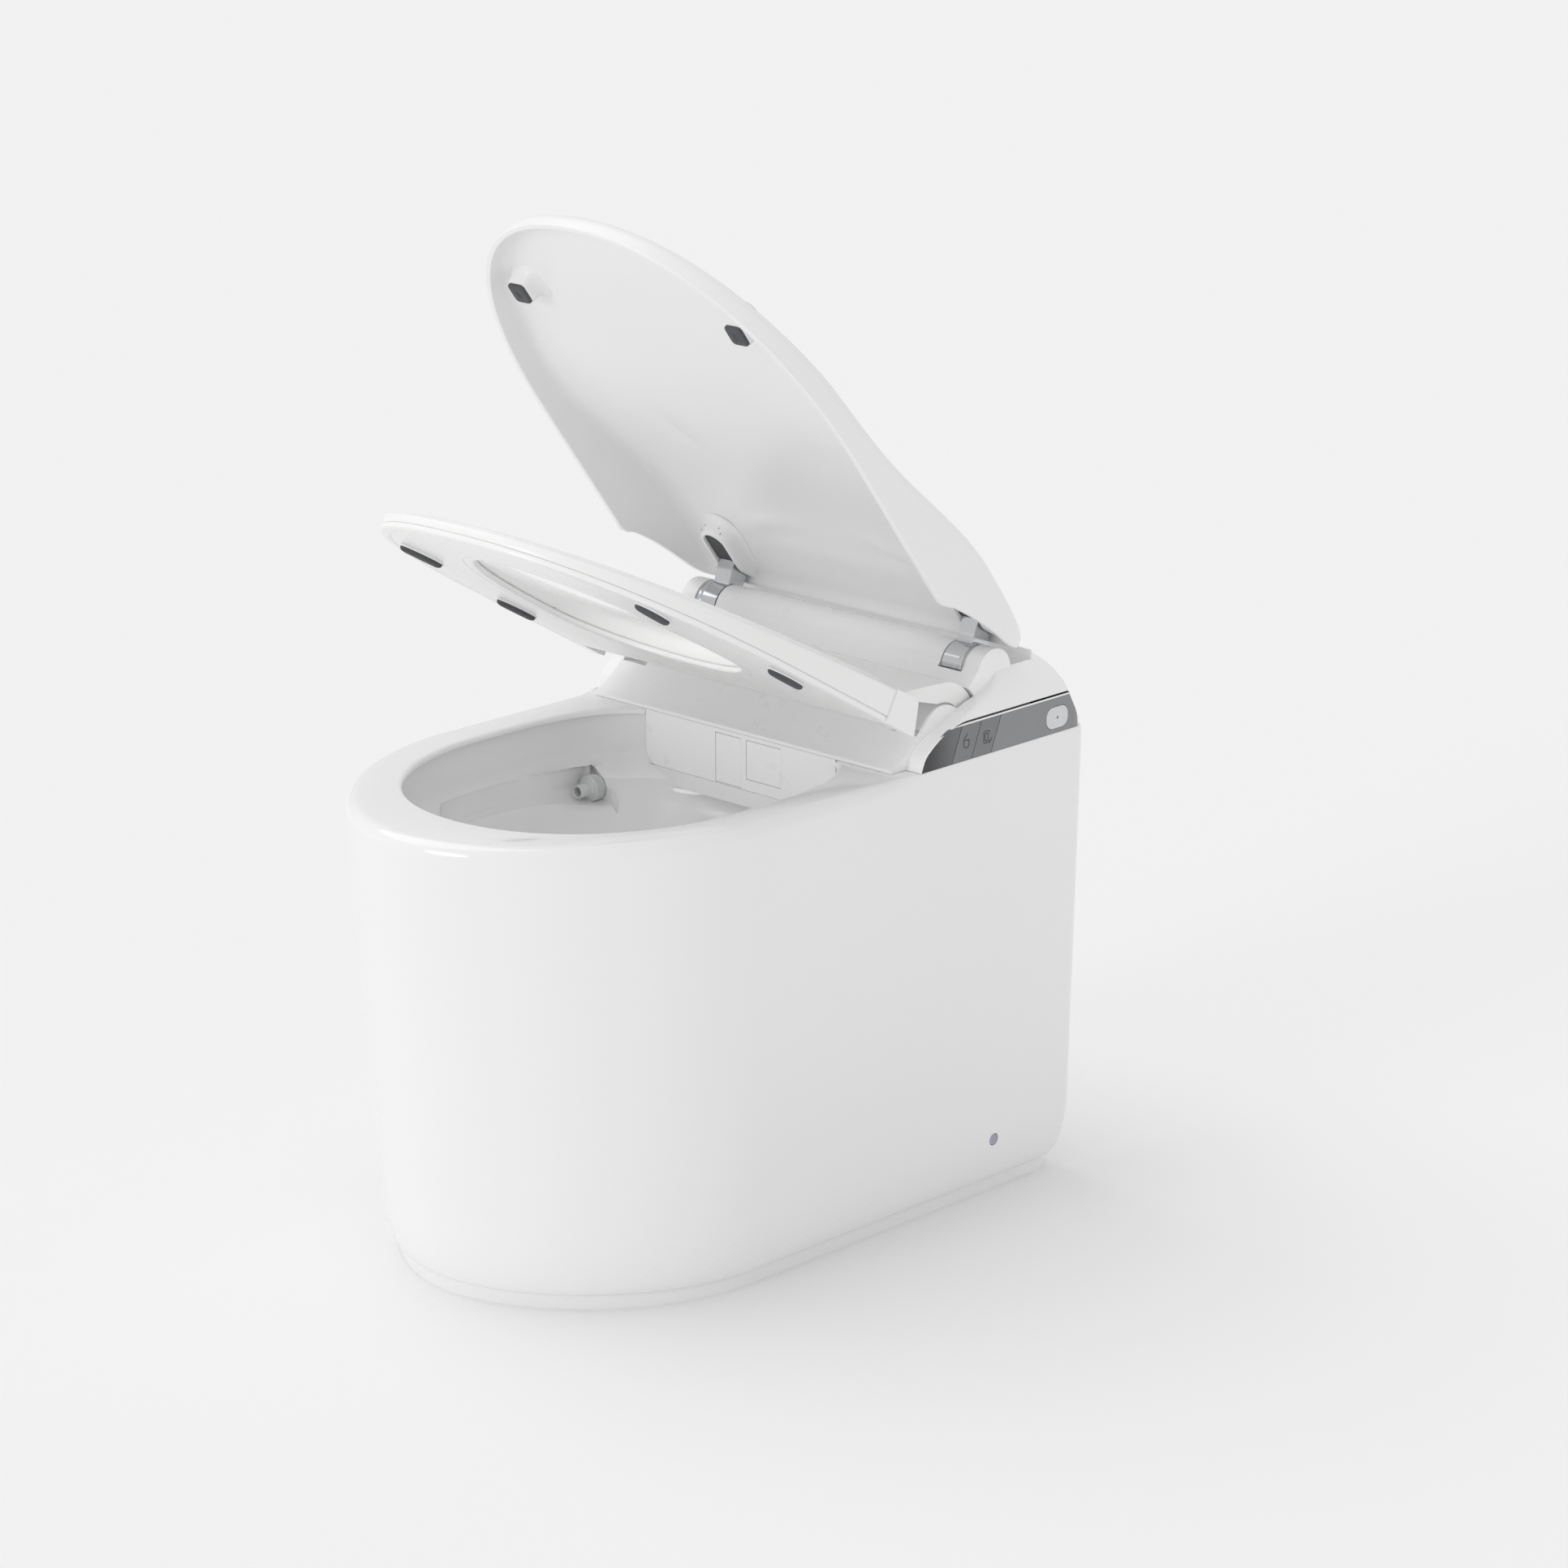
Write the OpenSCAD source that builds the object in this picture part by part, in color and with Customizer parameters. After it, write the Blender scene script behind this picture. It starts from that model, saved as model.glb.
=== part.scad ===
// Smart toilet with a heated seat: skirted ceramic body, rear housing, motor-driven lid and seat.
// Origin at the floor under the middle of the body, +Z up, the bowl faces -Y, the control strip is on +X.

/* [Body] */
// Overall width of the ceramic body
body_w = 386; // [376:1:400]
// Overall length of the ceramic body
body_l = 617; // [605:1:640]
// Height of the ceramic rim
rim_h = 400; // [390:1:430]
// Thickness of the china
china_t = 12; // [10:0.5:14]
// Length of the rounded nose, from the front to where the sides run straight
nose_l = 223; // [210:1:240]
// Radius of the rounded rim edge
rim_r = 12; // [8:1:14]
// Radius of the body's rear corners
corner_r = 16; // [12:1:22]
// Height of the recessed plinth
plinth_h = 13; // [10:1:18]
// How far the plinth is set in at the sides
plinth_in = 21; // [15:1:26]
// How far the plinth is set in at the nose
plinth_front_in = 45; // [42:1:50]
// Height of the rounded foot above the plinth
foot_h = 58; // [45:1:70]
// How far the side walls lean in above the foot
side_lean = 7; // [3:0.5:9]
// How far the nose leans in above the foot
nose_lean = 32; // [26:1:34]

/* [Bowl] */
// Rim width at the front of the bowl
rim_front = 63; // [58:1:70]
// Rim width at the sides of the bowl
rim_side = 39; // [37:0.5:45]
// Length of the front half of the bowl opening
bowl_front_l = 177; // [170:1:182]
// Length of the rear half of the bowl opening
bowl_rear_l = 168; // [164:1:172]
// Height of the sump's floor
sump_z = 80; // [76:1:86]
// Bore of the trapway and of the drain outlet
trap_bore = 52; // [46:1:54]
// Thickness of the trapway wall
trap_t = 8; // [6:0.5:9]
// Distance from the back of the body to the middle of the drain outlet
drain_back = 282; // [278:1:286]
// Diameter of the flush nozzle's knurled ring
flush_ring_d = 23; // [20:0.5:26]
// Diameter of the side screw caps
cap_d = 11; // [9:0.5:14]

/* [Housing] */
// Distance from the back of the body to the front face of the apron
apron_back = 227; // [224:1:230]
// Height of the apron below the rim
apron_drop = 48; // [44:1:50]
// Distance from the side of the body to the apron's end
apron_side = 81; // [79:0.5:88]
// Wall thickness of the plastic housing
cover_t = 3.5; // [3:0.25:4]
// Height of the hinge barrel's crest above the rim
crest_h = 82; // [81:0.5:84]
// Radius of the hinge barrel
barrel_r = 20; // [19:0.5:21]
// Width of each ear beside the seat
ear_w = 17; // [16:0.5:18]
// Height of the dark side strip
strip_h = 30; // [28:1:32]
// Thickness of the dark side strip
strip_t = 3; // [2.5:0.5:3.5]

/* [Hinges] */
// Distance from the back of the body to the lid axis
lid_axis_back = 102; // [101:0.5:103]
// Height of the lid axis above the rim
lid_axis_up = 62; // [61.5:0.5:63]
// Distance from the back of the body to the seat axis
seat_axis_back = 164.4; // [163.8:0.2:165]
// Height of the seat axis above the rim
seat_axis_up = 20; // [19.5:0.5:20.5]
// How far the lid stands open from closed
lid_open = 56.4; // [0:0.1:90]
// How far the seat is raised from closed
seat_open = 30.4; // [0:0.1:48.5]
// Diameter of the lid hinge shafts
lid_shaft_d = 9; // [8:0.5:10]
// Diameter of the seat hinge pins
seat_pin_d = 8; // [7:0.5:9]
// Width of each lid arm
arm_w = 18; // [17:0.5:19]
// Distance from the side of the body to the inner face of each lid arm
arm_in = 59; // [58:0.5:61]

/* [Lid] */
// How far the lid is set in at each side of the body
lid_in = 4; // [3:0.5:6]
// Length of the lid in front of its shoulder line
lid_front_l = 397; // [393:1:400]
// Length of the lid behind its shoulder line
lid_rear_l = 112; // [110:1:113]
// Wall thickness of the lid
lid_t = 5; // [4:0.5:6]
// Height of the lid at the tip
lid_tip_h = 19; // [18:0.5:22]
// Height of the lid at its rear hump
lid_hump_h = 64; // [62:0.5:66]
// Tilt of the closed lid, rear high
lid_tilt = 2.75; // [2.5:0.25:3]

/* [Seat] */
// How far the seat is set in at each side of the body
seat_side_in = 5; // [4:0.5:7]
// Gap between the rim and the seat's underside, filled by the pads
seat_gap = 5; // [4.5:0.25:5.5]
// Distance from the front of the body to the tip of the seat
seat_front_in = 15; // [14:0.5:18]
// Distance from the back of the body to the rear of the seat's ring
seat_rear_back = 240; // [239:0.5:241]
// Width of the seat's ring at the front
seat_front_w = 64; // [60:1:68]
// Width of the seat's ring at the rear
seat_rear_w = 52; // [48:1:56]
// Width of the seat's ring at the sides
seat_ring_w = 88; // [84:1:92]
// Thickness of the seat's lower shell
base_t = 5; // [4:0.5:5.5]
// Height of the comfort crown above the seat's outer ledge
crown_h = 5; // [4:0.5:6]

/* [Wash and dry] */
// Diameter of the wash wand
wand_d = 15; // [14:0.5:16]
// Length of the wash wand
wand_l = 120; // [110:1:124]
// Slope of the wash wand below level
wand_slope = 18; // [17:0.5:18.5]
// Width of the nozzle door
nozzle_door_w = 30; // [28:1:32]
// Width of the dryer door
dryer_door_w = 40; // [37:1:42]
// Height of the dryer door
dryer_door_h = 34; // [32:1:36]

/* [Buttons] */
// Width of the rounded flush button
button_w = 27; // [24:0.5:28]
// Width of each key
key_w = 24; // [22:0.5:25]

/* [Hidden] */
clear = 0.3;
run_gap = 1.5;
fit = 0.05;
over = 1;
fine = 64;
front_y = -body_l / 2;
back_y = body_l / 2;
mid_y = front_y + nose_l;
half_w = body_w / 2;
bowl_hw = half_w - rim_side;
apron_w = body_w - 2 * apron_side;
arm_x = half_w - arm_in;
lid_hw = half_w - lid_in;
seat_hw = half_w - seat_side_in;
hole_hw = seat_hw - seat_ring_w;
lid_at = [back_y - lid_axis_back, rim_h + lid_axis_up];
seat_at = [back_y - seat_axis_back, rim_h + seat_axis_up];
apron_y = back_y - apron_back;
drain_y = back_y - drain_back;
white = "#f2f2f2";
plastic = "#ededed";
steel = "#b9bcc0";
grey = "#8c8c8c";
dark = "#4a4a4c";

function smooth(u) = let (v = max(0, min(1, u))) v * v * (3 - 2 * v);
function mix(a, b, t) = a + (b - a) * t;
function mean(points, k) = [for (p = points) p[k]] * [for (p = points) 1] / len(points);
function lift(points, z) = [for (p = points) [p.x, p.y, z]];

// A point on an egg-shaped outline: a is the angle from +X, with its own exponent in front and behind
function egg_point(a, hw, front_l, rear_l, pf, pr) =
    let (c = cos(a), s = sin(a), p = s < 0 ? pf : pr, l = s < 0 ? front_l : rear_l)
    [sign(c) * hw * pow(abs(c), 2 / p), sign(s) * l * pow(abs(s), 2 / p)];
// The angles of the points round every ring: an even count behind, an odd one in front
step_a = 7.5;
ring_angles = concat([for (i = [0 : 23]) (i + 0.5) * step_a], [for (i = [1 : 23]) 180 + i * step_a]);
function egg(hw, front_l, rear_l, pf, pr, mid = 0) =
    [for (a = ring_angles) let (p = egg_point(a, hw, front_l, rear_l, pf, pr)) [p.x, mid + p.y]];

// An arc in Y and Z about a point, from angle a0 to a1
function arc(at, r, a0, a1, n = 10) =
    [for (i = [0 : n]) let (a = mix(a0, a1, i / n)) at + r * [cos(a), sin(a)]];

// A closed solid through rings of equal counts, closed by a fan at each end
module loft(rings) {
    n = len(rings[0]);
    m = len(rings);
    last = rings[m - 1];
    ends = [[mean(rings[0], 0), mean(rings[0], 1), mean(rings[0], 2)],
        [mean(last, 0), mean(last, 1), mean(last, 2)]];
    sides = [for (k = [0 : m - 2], i = [0 : n - 1]) let (j = (i + 1) % n, a = k * n, b = a + n)
        each [[a + i, b + i, b + j], [a + i, b + j, a + j]]];
    start = [for (i = [0 : n - 1]) [m * n, i, (i + 1) % n]];
    end = [for (i = [0 : n - 1]) [m * n + 1, (m - 1) * n + (i + 1) % n, (m - 1) * n + i]];
    polyhedron(points = concat([for (r = rings) each r], ends), faces = concat(sides, start, end),
        convexity = 8);
}

// A closed ring-shaped solid from cross-sections of equal counts
module ring_loft(sections) {
    n = len(sections);
    m = len(sections[0]);
    faces = [for (i = [0 : n - 1], k = [0 : m - 1])
        let (a = i * m, b = ((i + 1) % n) * m, l = (k + 1) % m)
        each [[a + k, a + l, b + l], [a + k, b + l, b + k]]];
    polyhedron(points = [for (s = sections) each s], faces = faces, convexity = 8);
}

// A side profile, drawn in Y and Z, carried from x0 to x1
module across(x0, x1) {
    translate([x0, 0, 0]) rotate([90, 0, 90]) linear_extrude(x1 - x0) children();
}
// A front profile, drawn in X and Z, carried back from y0 to y1
module back_from(y0, y1) {
    translate([0, y1, 0]) rotate([90, 0, 0]) linear_extrude(y1 - y0) children();
}
module both() {
    children();
    mirror([1, 0, 0]) children();
}
module rod(x, at, l, r) {
    translate([x, at.x, at.y]) rotate([0, 90, 0]) cylinder(h = l, r = r, $fn = fine);
}
module box(from, to) {
    translate(from) cube(to - from);
}
module turned(at, a) {
    translate([0, at.x, at.y]) rotate([-a, 0, 0]) translate([0, -at.x, -at.y]) children();
}
module rounded_rect(w, h, r) {
    translate([r, 0]) square([w - 2 * r, h]);
    translate([0, r]) square([w, h - 2 * r]);
    for (x = [r, w - r], y = [r, h - r]) translate([x, y]) circle(r = r, $fn = fine);
}

// Ceramic body
nose_power = 1.85;
// Where the points on each straight side lie, as shares of the way back from the nose
side_shares = [0.08, 0.25, 0.40, 0.47, 0.75];
// The rim's round edge fades out where the housing begins
edge_shares = [1, 1, 1, 0.1, 0.1];
corner_steps = 4;
function skin_ring(z, side_in, nose_in, back_in, edge_in = 0) =
    let (hw = half_w - side_in, l = body_l - nose_l, r = corner_r, e = edge_in,
        right = [for (i = [0 : 4]) [hw - e * edge_shares[i], mid_y + l * side_shares[i]]],
        rear = [for (i = [0 : corner_steps]) let (a = 90 * i / corner_steps, q = e * edge_shares[4])
            [hw - q - r * (1 - cos(a)), mid_y + l - back_in - q - r * (1 - sin(a))]],
        inner = [for (s = [0.6, 0.2]) [hw * s, mid_y + l - back_in - e * edge_shares[4]]],
        half = concat(right, rear, inner),
        other = [for (i = [len(half) - 1 : -1 : 0]) [-half[i].x, half[i].y]],
        nose = [for (i = [1 : 23]) let (p = egg_point(180 + i * step_a, hw - e,
            nose_l - nose_in - e, 1, nose_power, 2)) [p.x, mid_y + p.y]])
    lift(concat(half, other, nose), z);
back_lean = side_lean * 0.7;
wall_foot = plinth_h + foot_h;
function wall_ring(z, inset, edge_in = 0) =
    let (t = max(0, (rim_h - z) / (rim_h - wall_foot)))
    skin_ring(z, inset + side_lean * t, inset + nose_lean * t, inset + back_lean * t, edge_in);
function foot_ring(t) =
    let (c = 1 - sin(t * 90))
    skin_ring(plinth_h + foot_h * (1 - cos(t * 90)), mix(side_lean, plinth_in - 2 * over, c),
        mix(nose_lean, plinth_front_in - 2 * over, c), mix(back_lean, plinth_in, c));
skirt_rings = [
    skin_ring(0, plinth_in, plinth_front_in, plinth_in + over),
    skin_ring(plinth_h - over, plinth_in, plinth_front_in, plinth_in + over),
    for (i = [0 : 6]) foot_ring(i / 6),
    wall_ring(mix(wall_foot, rim_h, 0.4), 0),
    wall_ring(mix(wall_foot, rim_h, 0.7), 0)];
edge_rings = [for (a = [0 : 22.5 : 90]) wall_ring(rim_h - rim_r * (1 - sin(a)), 0, rim_r * (1 - cos(a)))];

// The bowl at eleven levels, as shares of its height, width and lengths at the rim
bowl_mid = front_y + rim_front + bowl_front_l;
bowl_z_shares = [1, 0.975, 0.9, 0.8, 0.68, 0.55, 0.42, 0.28, 0.15, 0.05, 0];
bowl_w_shares = [1, 1.03, 1.04, 1.02, 0.94, 0.82, 0.68, 0.5, 0.34, 0.22, 0.12];
bowl_front_shares = [1, 1.03, 1.04, 1.02, 0.97, 0.9, 0.82, 0.72, 0.62, 0.54, 0.45];
bowl_rear_shares = [1, 1, 0.97, 0.86, 0.62, 0.28, -0.02, -0.14, -0.24, -0.28, -0.32];
function bowl_ring(k, grow = 0, drop = 0) =
    let (rear = bowl_rear_l * bowl_rear_shares[k], front = bowl_front_l * bowl_front_shares[k],
        low = smooth((k - 4) / 3), half = (front + rear) / 2)
    lift(egg(bowl_hw * bowl_w_shares[k] + grow, mix(front, half, low) + grow,
        mix(rear, half, low) + grow, 2.1, mix(2.5, 2.1, k / 10), bowl_mid + low * (rear - front) / 2),
        mix(sump_z, rim_h, bowl_z_shares[k]) - drop);
// The rim and bowl stand on the skirt, which is cast apart and joined to it on a flat ring
split_z = mix(sump_z, rim_h, bowl_z_shares[2]);
under_rings = [for (k = [10 : -1 : 2]) bowl_ring(k, china_t, k > 6 ? china_t : 0)];
ceramic_rings = concat(under_rings, [wall_ring(split_z, 0)], edge_rings, [for (k = [0 : 10]) bowl_ring(k)]);
skirt_walls = concat(skirt_rings, [
    wall_ring(split_z, 0),
    wall_ring(split_z, china_t),
    wall_ring(wall_foot, china_t),
    skin_ring(plinth_h, plinth_in + china_t, plinth_front_in + china_t, plinth_in + china_t),
    skin_ring(0, plinth_in + china_t, plinth_front_in + china_t, plinth_in + china_t)]);
skirt_sections = [for (i = [0 : len(skirt_walls[0]) - 1]) [for (ring = skirt_walls) ring[i]]];

// The trapway: under the bowl's rear wall, up to the weir and down to the drain
trap_r = trap_bore / 2;
bend_r = trap_r + trap_t + over;
up_y = drain_y - 2 * bend_r;
weir_z = 0.435 * rim_h;
trap_z = sump_z + trap_r;
sump_y = bowl_mid + (bowl_rear_l * bowl_rear_shares[10] - bowl_front_l * bowl_front_shares[10]) / 2;
trap_inlet_l = max(trap_r, up_y - bend_r - sump_y - 10 * over);
module trap_way(r, reach) {
    if (reach > 0) translate([0, drain_y, weir_z - reach]) cylinder(h = reach, r = r, $fn = fine);
    translate([0, up_y + bend_r, weir_z]) rotate([90, 0, 90])
        rotate_extrude(angle = 180, $fn = fine) translate([bend_r, 0]) circle(r = r, $fn = fine);
    translate([0, up_y, trap_z + bend_r]) cylinder(h = weir_z - trap_z - bend_r, r = r, $fn = fine);
    translate([0, up_y - bend_r, trap_z + bend_r]) rotate([90, 0, 90]) rotate([0, 0, -90])
        rotate_extrude(angle = 90, $fn = fine) translate([bend_r, 0]) circle(r = r, $fn = fine);
    translate([0, up_y - bend_r, trap_z]) rotate([90, 0, 0])
        cylinder(h = trap_inlet_l + reach * 8, r = r, $fn = fine);
}

// The wash well behind the apron, the equipment bay behind it and their floor
well_z = rim_h - apron_drop - 2 * over;
well_hw = apron_w / 2 + over;
well_back = back_y - lid_axis_back - 2 * bend_r;
bay_in = 43;
bay_hw = half_w - bay_in;
bay_back = 26;
cap_back = 109;
cap_y = back_y - cap_back;
cap_z = 52;
flush_in = 48.8;
flush_drop = 65.5;
flush_at = [-0.87 * bowl_hw, apron_y - flush_in, rim_h - flush_drop];
pocket_r = 17;
module ceramic_body() {
    color(white) difference() {
        union() {
            loft(ceramic_rings);
            // Floor of the wash well
            box([-well_hw - china_t, apron_y - over, well_z - china_t],
                [well_hw + china_t, well_back + china_t, well_z]);
            // Boss behind the flush nozzle
            translate([flush_at.x - pocket_r * 0.9, flush_at.y + 1.3 * pocket_r, flush_at.z]) rotate([90, 0, 0])
                cylinder(h = 1.9 * pocket_r, r = pocket_r + 0.6 * china_t, $fn = fine);
            trap_way(trap_r + trap_t, 0);
        }
        trap_way(trap_r, over);
        box([-well_hw, apron_y - over, well_z], [well_hw, well_back + over, rim_h + over]);
        box([-bay_hw, well_back, rim_h - apron_drop * 2], [bay_hw, back_y - bay_back, rim_h + over]);
        translate([flush_at.x, flush_at.y + pocket_r * 0.6, flush_at.z]) rotate([90, 0, 0])
            cylinder(h = pocket_r * 2.2, r = pocket_r, $fn = fine);
        // Hole for the flush pipe behind the nozzle
        translate([flush_at.x, flush_at.y, flush_at.z]) rotate([-90, 0, 0])
            cylinder(h = pocket_r * 2, r = pipe_r + clear, $fn = fine);
        for (b = bolt_at) both() translate([b.x, b.y, rim_h - rim_r - over])
            cylinder(h = 2 * rim_r, r = bolt_d / 2 + clear, $fn = fine);
    }
}

module ceramic_skirt() {
    color(white) difference() {
        union() {
            ring_loft(skirt_sections);
            // Screw pads inside the skirt
            both() rod(half_w - side_lean - china_t * 1.6, [cap_y, cap_z], china_t, cap_d);
        }
        both() rod(half_w - 3 * china_t, [cap_y, cap_z], 4 * china_t, cap_d / 2);
    }
}
// The pipe from the trapway's end straight down to the floor drain
module outlet_pipe() {
    color(grey) translate([0, drain_y, 0]) difference() {
        cylinder(h = weir_z, r = trap_r + trap_t, $fn = fine);
        translate([0, 0, -over]) cylinder(h = weir_z + 2 * over, r = trap_r, $fn = fine);
    }
}

// Housing: side profile of each ear, as shares of its length and of the crest's height
ear_step = 17.6;
ear_y = apron_y + ear_step;
ear_l = lid_at.x + barrel_r * 0.24 - ear_y;
ear_shares = [[0, 0], [0.035, 0.115], [0.095, 0.2], [0.18, 0.277], [0.307, 0.348], [0.476, 0.44],
    [0.627, 0.517], [0.78, 0.58], [0.89, 0.646], [0.96, 0.75], [0.99, 0.866], [1, 1]];
// The deck, from behind the lid's recess down to the back, measured from the back
deck_shares = [[0.545, 0.88], [0.47, 0.828], [0.4, 0.747], [0.336, 0.656], [0.287, 0.546], [0.24, 0.38],
    [0.0735, 0]];
// The front view of the housing's shoulder, as shares of its half width and of the crest's height
shoulder_shares = [[1, -0.1], [1, 0.39], [0.98, 0.52], [0.948, 0.65], [0.911, 0.77], [0.86, 0.88],
    [0.785, 0.955], [0.63, 0.995], [0.31, 1.012], [0, 1.02]];
scoop_shares = [[0, 0], [0.16, 0.086], [0.386, 0.257], [0.66, 0.53], [0.864, 0.8]];
cover_z = rim_h + clear;
lip_h = 3;
core_r = 26;
trough_r = 46;
recess_r = 47;
core_a = [136, 3];
recess_a = [-14, 12];
recess_past = 8;
scoop_end = seat_at + core_r * [cos(core_a[0]), sin(core_a[0])];
scoop = [scoop_end.x - apron_y, scoop_end.y - cover_z - lip_h];
centre_profile = concat(
    [[apron_y, cover_z]],
    [for (p = scoop_shares) [apron_y + p.x * scoop.x, cover_z + lip_h + p.y * scoop.y]],
    arc(seat_at, core_r, core_a[0], core_a[1]),
    arc(seat_at, trough_r, core_a[1], 48, 5),
    arc(lid_at, barrel_r, 162, 0, 12),
    arc(lid_at, barrel_r, -7, recess_a[0], 1),
    arc(lid_at, recess_r, recess_a[0], recess_a[1], 4),
    [for (p = deck_shares) [back_y - p.x * lid_axis_back, cover_z + p.y * crest_h]]);
ear_profile = concat(
    [for (p = ear_shares) [ear_y + p.x * ear_l, cover_z + p.y * crest_h]],
    [for (p = deck_shares) [back_y - p.x * lid_axis_back, cover_z + p.y * crest_h]]);
shoulder_profile = concat(
    [for (p = shoulder_shares) [p.x * (half_w - over), rim_h + p.y * crest_h]],
    [for (i = [len(shoulder_shares) - 2 : -1 : 0]) let (p = shoulder_shares[i])
        [-p.x * (half_w - over), rim_h + p.y * crest_h]]);
cover_back = 5;
ear_x = half_w - over - ear_w;
module plan(inset) {
    w = half_w - over - inset;
    rear = back_y - cover_back - inset;
    r = corner_r - over;
    translate([-w, apron_y - over]) square([2 * w, rear - r - apron_y + over]);
    translate([-w + r, apron_y]) square([2 * (w - r), rear - apron_y]);
    for (x = [-w + r, w - r]) translate([x, rear - r]) circle(r = r, $fn = fine);
}
module housing_block(inset) {
    intersection() {
        union() {
            across(-ear_x - over / 2, ear_x + over / 2) offset(delta = -inset) polygon(centre_profile);
            // The inside is open below
            if (inset > 0) translate([0, 0, -2 * inset]) across(-ear_x - over / 2, ear_x + over / 2)
                offset(delta = -inset) polygon(centre_profile);
            if (inset == 0) both() across(ear_x, half_w - over) polygon(ear_profile);
        }
        translate([0, 0, rim_h - 2 * cover_t]) linear_extrude(2 * crest_h) plan(inset);
        back_from(apron_y - over, back_y) offset(delta = -inset) polygon(shoulder_profile);
    }
}
// The dark strip's outline in Y and Z: an arched front, a level top and a raked rear end
strip_front_shares = [[0, 0], [0.021, 0.32], [0.057, 0.55], [0.11, 0.78], [0.165, 0.97], [0.19, 1]];
strip_l = back_y - cover_back - strip_t - 1.5 * over - ear_y;
strip_rake = 17;
strip_x = half_w - over - strip_t;
key_room = 2;
strip_z = rim_h + clear;
strip_outline = concat(
    [for (p = strip_front_shares) [ear_y + over + p.x * strip_l, strip_z + p.y * strip_h]],
    [[ear_y + over + strip_l - strip_rake, strip_z + strip_h], [ear_y + over + strip_l, strip_z]]);
arm_gap = 7;
slot_r = barrel_r + 3;
pocket_w = 28;
pocket_x = [ear_x - 2 * over - pocket_w, ear_x - 2 * over];
leg_x = [pocket_x[0] + 2 * run_gap, pocket_x[1] - 2 * run_gap];
pin_x = [2 * leg_x[0] - leg_x[1], leg_x[1] - over / 2];
bolt_in = [61, 33];
bolt_back = [196, 41];
bolt_at = [for (i = [0, 1]) [half_w - bolt_in[i], back_y - bolt_back[i]]];
module arm_slots() {
    both() rod(arm_x - run_gap, lid_at, arm_w + arm_gap + run_gap, slot_r);
}
module seat_pockets() {
    // Swept clear of the seat's legs from closed to fully raised
    both() across(pocket_x[0], pocket_x[1]) {
        translate(seat_at) circle(r = seat_pin_d * 1.5, $fn = fine);
        polygon(concat([seat_at], arc(seat_at, core_r * 1.3, 170, 12)));
    }
}
module housing_cover() {
    color(plastic) difference() {
        housing_block(0);
        housing_block(cover_t);
        // Inside each ear
        both() intersection() {
            across(ear_x + cover_t, strip_x - key_room - cover_t) offset(delta = -cover_t) polygon(concat(ear_profile,
                [[back_y, rim_h - 2 * cover_t], [ear_y, rim_h - 2 * cover_t]]));
            translate([0, 0, rim_h - 2 * cover_t]) linear_extrude(2 * crest_h) plan(cover_t);
            back_from(apron_y - over, back_y) offset(delta = -cover_t) polygon(shoulder_profile);
        }
        // Room for the chassis plate under the front lip
        translate([0, 0, rim_h - over]) linear_extrude(plate_z + clear - rim_h + over) plate_outline(clear);
        arm_slots();
        seat_pockets();
        both() strip_skin(-over, strip_t + clear) offset(delta = clear) polygon(strip_outline);
        // The recess for the lid's rear lip runs on into the ears
        both() across(ear_x - over, ear_x + recess_past) polygon(concat(arc(lid_at, recess_r, recess_a[0], 90),
            arc(lid_at, barrel_r + over, 90, recess_a[0])));
        // Room behind the keys and the flush button
        across(strip_x - key_room, half_w) {
            offset(delta = clear) intersection() {
                polygon(strip_outline);
                slanted_band(key_y, key_y + 2 * key_w);
            }
            button_shape(clear);
        }
    }
}

// The front apron, with its two doorways
apron_t = 3;
apron_r = 13;
apron_z = rim_h - apron_drop;
nozzle_x = -13;
dryer_x = 28.5;
door_z = rim_h - 4;
door_t = 2.4;
door_gap = 0.4;
pintle_r = 1;
nozzle_door_h = door_z - apron_z - over;
module doorway(x, w, h) {
    translate([x - w / 2 - door_gap, door_z - h - door_gap]) square([w + 2 * door_gap, h + 2 * door_gap]);
}
module front_apron() {
    color(plastic) difference() {
        union() {
            back_from(apron_y, apron_y + apron_t) translate([-apron_w / 2, apron_z])
                rounded_rect(apron_w, apron_drop, apron_r);
            box([-apron_w / 2, apron_y, rim_h - 2 * apron_r], [apron_w / 2, apron_y + apron_t, rim_h]);
        }
        back_from(apron_y - over, apron_y + apron_t + over) {
            doorway(nozzle_x, nozzle_door_w, nozzle_door_h);
            doorway(dryer_x, dryer_door_w, dryer_door_h);
        }
        for (d = [[nozzle_x, nozzle_door_w], [dryer_x, dryer_door_w]])
            rod(d[0] - d[1] / 2 - apron_t, [apron_y + apron_t / 2, door_z - apron_t / 2], d[1] + 2 * apron_t,
                pintle_r + fit);
    }
}
module door(x, w, h) {
    y = apron_y + (apron_t - door_t) / 2;
    box([x - w / 2, y, door_z - h], [x + w / 2, y + door_t, door_z - apron_t / 2]);
    rod(x - w / 2, [apron_y + apron_t / 2, door_z - apron_t / 2], w, door_t / 2);
    rod(x - w / 2 - apron_t * 0.8, [apron_y + apron_t / 2, door_z - apron_t / 2], w + apron_t * 1.6, pintle_r);
}
module nozzle_door() {
    color(plastic) door(nozzle_x, nozzle_door_w, nozzle_door_h);
}
module dryer_door() {
    color(plastic) door(dryer_x, dryer_door_w, dryer_door_h);
}

// The side strip on +X with its window, two keys and flush button, and the plain one on -X
key_start = 50;
key_y = ear_y + key_start;
key_rake = 12.5;
key_gap = 0.3;
module slanted_band(y0, y1) {
    polygon([[y0 - key_rake, strip_z], [y1 - key_rake, strip_z], [y1, strip_z + strip_h], [y0, strip_z + strip_h]]);
}
button_h = button_w * 0.7;
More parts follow.
